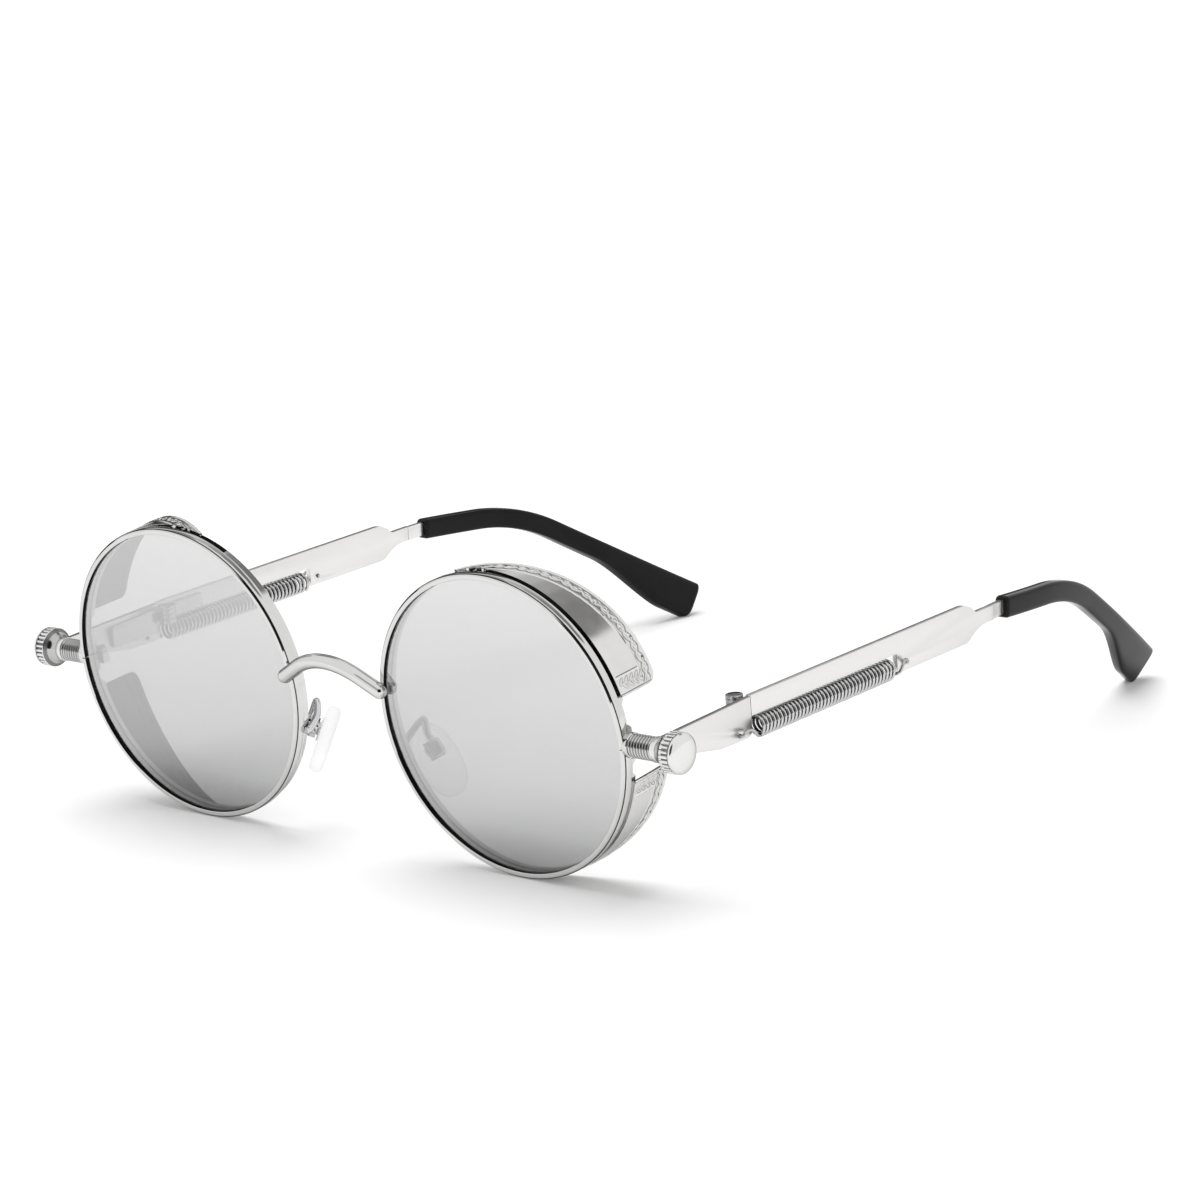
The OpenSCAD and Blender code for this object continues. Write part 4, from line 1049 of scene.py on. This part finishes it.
# A hook leaves the plate's hole, arches over and dips to the coil's underside: each point is its
# distance out from the plate's middle, its way from the hole to the coil in parts, and its rise
hookPath = [(-0.78, 0, 0), (0, 0, 0), (0.75, -0.02, 0), (1.15, 0.02, 0.22), (1.32, 0.14, 0.62),
            (1.42, 0.30, 0.74), (1.50, 0.46, 0.42), (1.45, 0.62, -0.28), (1.15, 0.78, -0.95)]


def hookLine(hole, holeLevel, coilEnd, coilLevel):
    line = []
    for out, part, rise in hookPath:
        level = holeLevel + (coilLevel - holeLevel) * max(0, part - 0.3)
        line.append(Vector((out, hole + (coilEnd - hole) * part, level + rise)))
    return line


def makeSpring():
    s = springShape
    radius, perCurl, parts = s["radius"], s["perCurl"], s["hookParts"]
    end, level = s["start"] + s["long"], s["level"]
    front = hookLine(-s["hookFront"], level - s["hookShift"], s["start"], level)
    rear = hookLine(end + s["hookRear"], level + s["hookShift"], end, level)
    count, early = s["curls"] * perCurl, perCurl // 6
    coil = []
    for i in range(-early, count - perCurl // 2 + early + 1):
        turn = 2 * math.pi * i / perCurl
        coil.append(Vector((radius * math.cos(turn), s["start"] + s["long"] * i / count,
                            level + radius * math.sin(turn))))
    line = smoothLine(front + [coil[0]], parts)[:-1] + coil + smoothLine([coil[-1]] + rear[::-1], parts)[1:]
    obj = bar(line, s["wire"], s["sides"])
    # How far each point faces into the coil, for the painted shade; the hooks get a little of it
    inside = obj.data.attributes.new("inside", "FLOAT", "POINT")
    for i, vertex in enumerate(obj.data.vertices):
        deep = 0.5 + (radius - math.hypot(vertex.co.x, vertex.co.z - level)) / s["wire"]
        inCoil = s["start"] - 0.3 < vertex.co.y < end + 0.3
        inside.data[i].value = min(1, max(0, deep)) if inCoil else s["hookShade"]
    return moved(obj, Matrix.Translation((templeShape["plateX"], 0, 0)))


springs = onBothSides(makeSpring(), "coil_spring", "springWire", None, "spring",
                      60, templePlace)
for side, mirror in sides.items():
    x, z = templeShape["plateX"], springShape["level"]
    start, end = (frontFrame @ mirror @ templePlace @ Vector((x, y, z)) for y in springShape["bend"])
    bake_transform(springs[side], "front", f"temple_{side}", start=tuple(start), end=tuple(end))
print("springs made")

studio = {"floor": 4.0, "floorTone": 0.84, "floorRough": 0.9, "glow": 0.10, "worldLight": 0.60}

# What metal and glass mirror: a white room with dark gaps between its panels, each as its direction,
# the angles in degrees where it is darkest and where it ends, and how dark it is
room = [((0.32, 0.62, 0.71), 5, 9, 0.24),  # a row high up behind the object, which the shields mirror
        ((0.17, 0.62, 0.77), 7, 10, 0.24),
        ((0.01, 0.62, 0.79), 7, 11, 0.30),
        ((-0.16, 0.62, 0.77), 6, 12, 0.44),
        ((-0.32, 0.62, 0.71), 5, 12, 0.62),
        ((0.56, -0.74, 0.37), 22, 33, 0.02),  # the corner where the camera stands
        ((-0.64, 0.70, 0.33), 6, 11, 0.15),  # a low row behind it on the left, and one higher up
        ((-0.70, 0.70, 0.08), 9, 13, 0.08),
        ((-0.86, 0.50, 0.06), 9, 13, 0.04),
        ((-0.96, 0.24, 0.12), 9, 13, 0.04),
        ((-0.60, 0.38, 0.70), 9, 17, 0.30)]


# A calculation with one or two numbers or sockets
def maths(tree, operation, *values):
    return added(tree, "Math", dict(enumerate(values)), operation=operation).outputs[0]


def makeFloor():
    floor = placed(bpy.ops.mesh.primitive_plane_add, size=studio["floor"] * 2)
    floor.name = "floor"
    material = bpy.data.materials.new("paleFloor")
    material.use_nodes = True
    tree = material.node_tree
    # It glows a little for the camera and for mirrors, but lights nothing
    path = tree.nodes.new("ShaderNodeLightPath").outputs
    direct = maths(tree, "MAXIMUM", path["Is Camera Ray"], path["Is Glossy Ray"])
    seen = maths(tree, "MAXIMUM", direct, path["Is Transmission Ray"])
    setInputs(tree, tree.nodes["Principled BSDF"], {
        "Base Color": (*[studio["floorTone"]] * 3, 1), "Roughness": studio["floorRough"],
        "Specular IOR Level": 0.0, "Emission Color": (1, 1, 1, 1),
        "Emission Strength": maths(tree, "MULTIPLY", seen, studio["glow"])})
    floor.data.materials.append(material)


def makeWorld():
    world = bpy.data.worlds.new("softRoom")
    bpy.context.scene.world = world
    world.use_nodes = True
    tree = world.node_tree
    direction = tree.nodes.new("ShaderNodeTexCoord").outputs["Generated"]
    seen = None
    for towards, inner, outer, dark in room:
        towards = Vector(towards).normalized()
        dot = added(tree, "VectorMath", {0: direction, 1: towards}, operation="DOT_PRODUCT")
        darkest, ends = math.cos(math.radians(inner)), math.cos(math.radians(outer))
        shade = added(tree, "MapRange", {"From Min": ends, "From Max": darkest, "To Min": 1, "To Max": dark,
                                         "Value": dot.outputs["Value"]}, interpolation_type="SMOOTHSTEP")
        shade = shade.outputs["Result"]
        seen = shade if seen is None else maths(tree, "MINIMUM", seen, shade)
    # Camera rays see plain white, glossy rays the room, and all others an even, weaker light
    path = tree.nodes.new("ShaderNodeLightPath").outputs
    white = maths(tree, "MAXIMUM", path["Is Camera Ray"], path["Is Transmission Ray"])
    glossy = maths(tree, "MULTIPLY", path["Is Glossy Ray"], seen)
    other = maths(tree, "SUBTRACT", 1, maths(tree, "MAXIMUM", white, path["Is Glossy Ray"]))
    light = maths(tree, "MULTIPLY", other, studio["worldLight"])
    strength = maths(tree, "ADD", maths(tree, "ADD", white, glossy), light)
    setInputs(tree, tree.nodes["Background"], {"Color": (1, 1, 1, 1), "Strength": strength})


sun = {"from": (-0.28, 0.14, 1.0), "angle": 50, "power": 2.1}


def makeSun():
    light = placed(bpy.ops.object.light_add, type="SUN", location=sun["from"])
    light.name = "sun"
    light.data.angle = math.radians(sun["angle"])
    light.data.energy = sun["power"]
    light.visible_glossy = False  # metal mirrors the room, not the lamp
    light.rotation_euler = (-Vector(sun["from"])).to_track_quat("-Z", "Y").to_euler()


# The camera stands as the photograph's did, in the front's frame: degrees and mm
view = {"azimuth": 42.513, "elevation": 18.323, "roll": -7.891, "right": 43.26, "up": 16.575,
        "far": 740.7, "lens": 134.811}


def makeCamera():
    az, el, roll = (math.radians(view[key]) for key in ("azimuth", "elevation", "roll"))
    back = Vector((math.sin(az) * math.cos(el), -math.cos(az) * math.cos(el), math.sin(el)))
    right = Vector((math.cos(az), math.sin(az), 0))
    up = back.cross(right)
    right, up = math.cos(roll) * right + math.sin(roll) * up, -math.sin(roll) * right + math.cos(roll) * up
    centre = view["far"] * back + view["right"] * right + view["up"] * up
    turn = frontFrame.to_3x3() * (1 / mm)
    axes = Matrix((turn @ right, turn @ up, turn @ back)).transposed()
    camera = placed(bpy.ops.object.camera_add)
    camera.matrix_world = Matrix.Translation(frontFrame @ centre) @ axes.to_4x4()
    camera.data.sensor_width = 36
    camera.data.lens = view["lens"]
    camera.data.clip_start = 0.01
    camera.data.clip_end = 50
    bpy.context.scene.camera = camera


makeFloor()
makeWorld()
makeSun()
makeCamera()
bpy.context.scene.view_settings.view_transform = "Standard"
print("studio made")
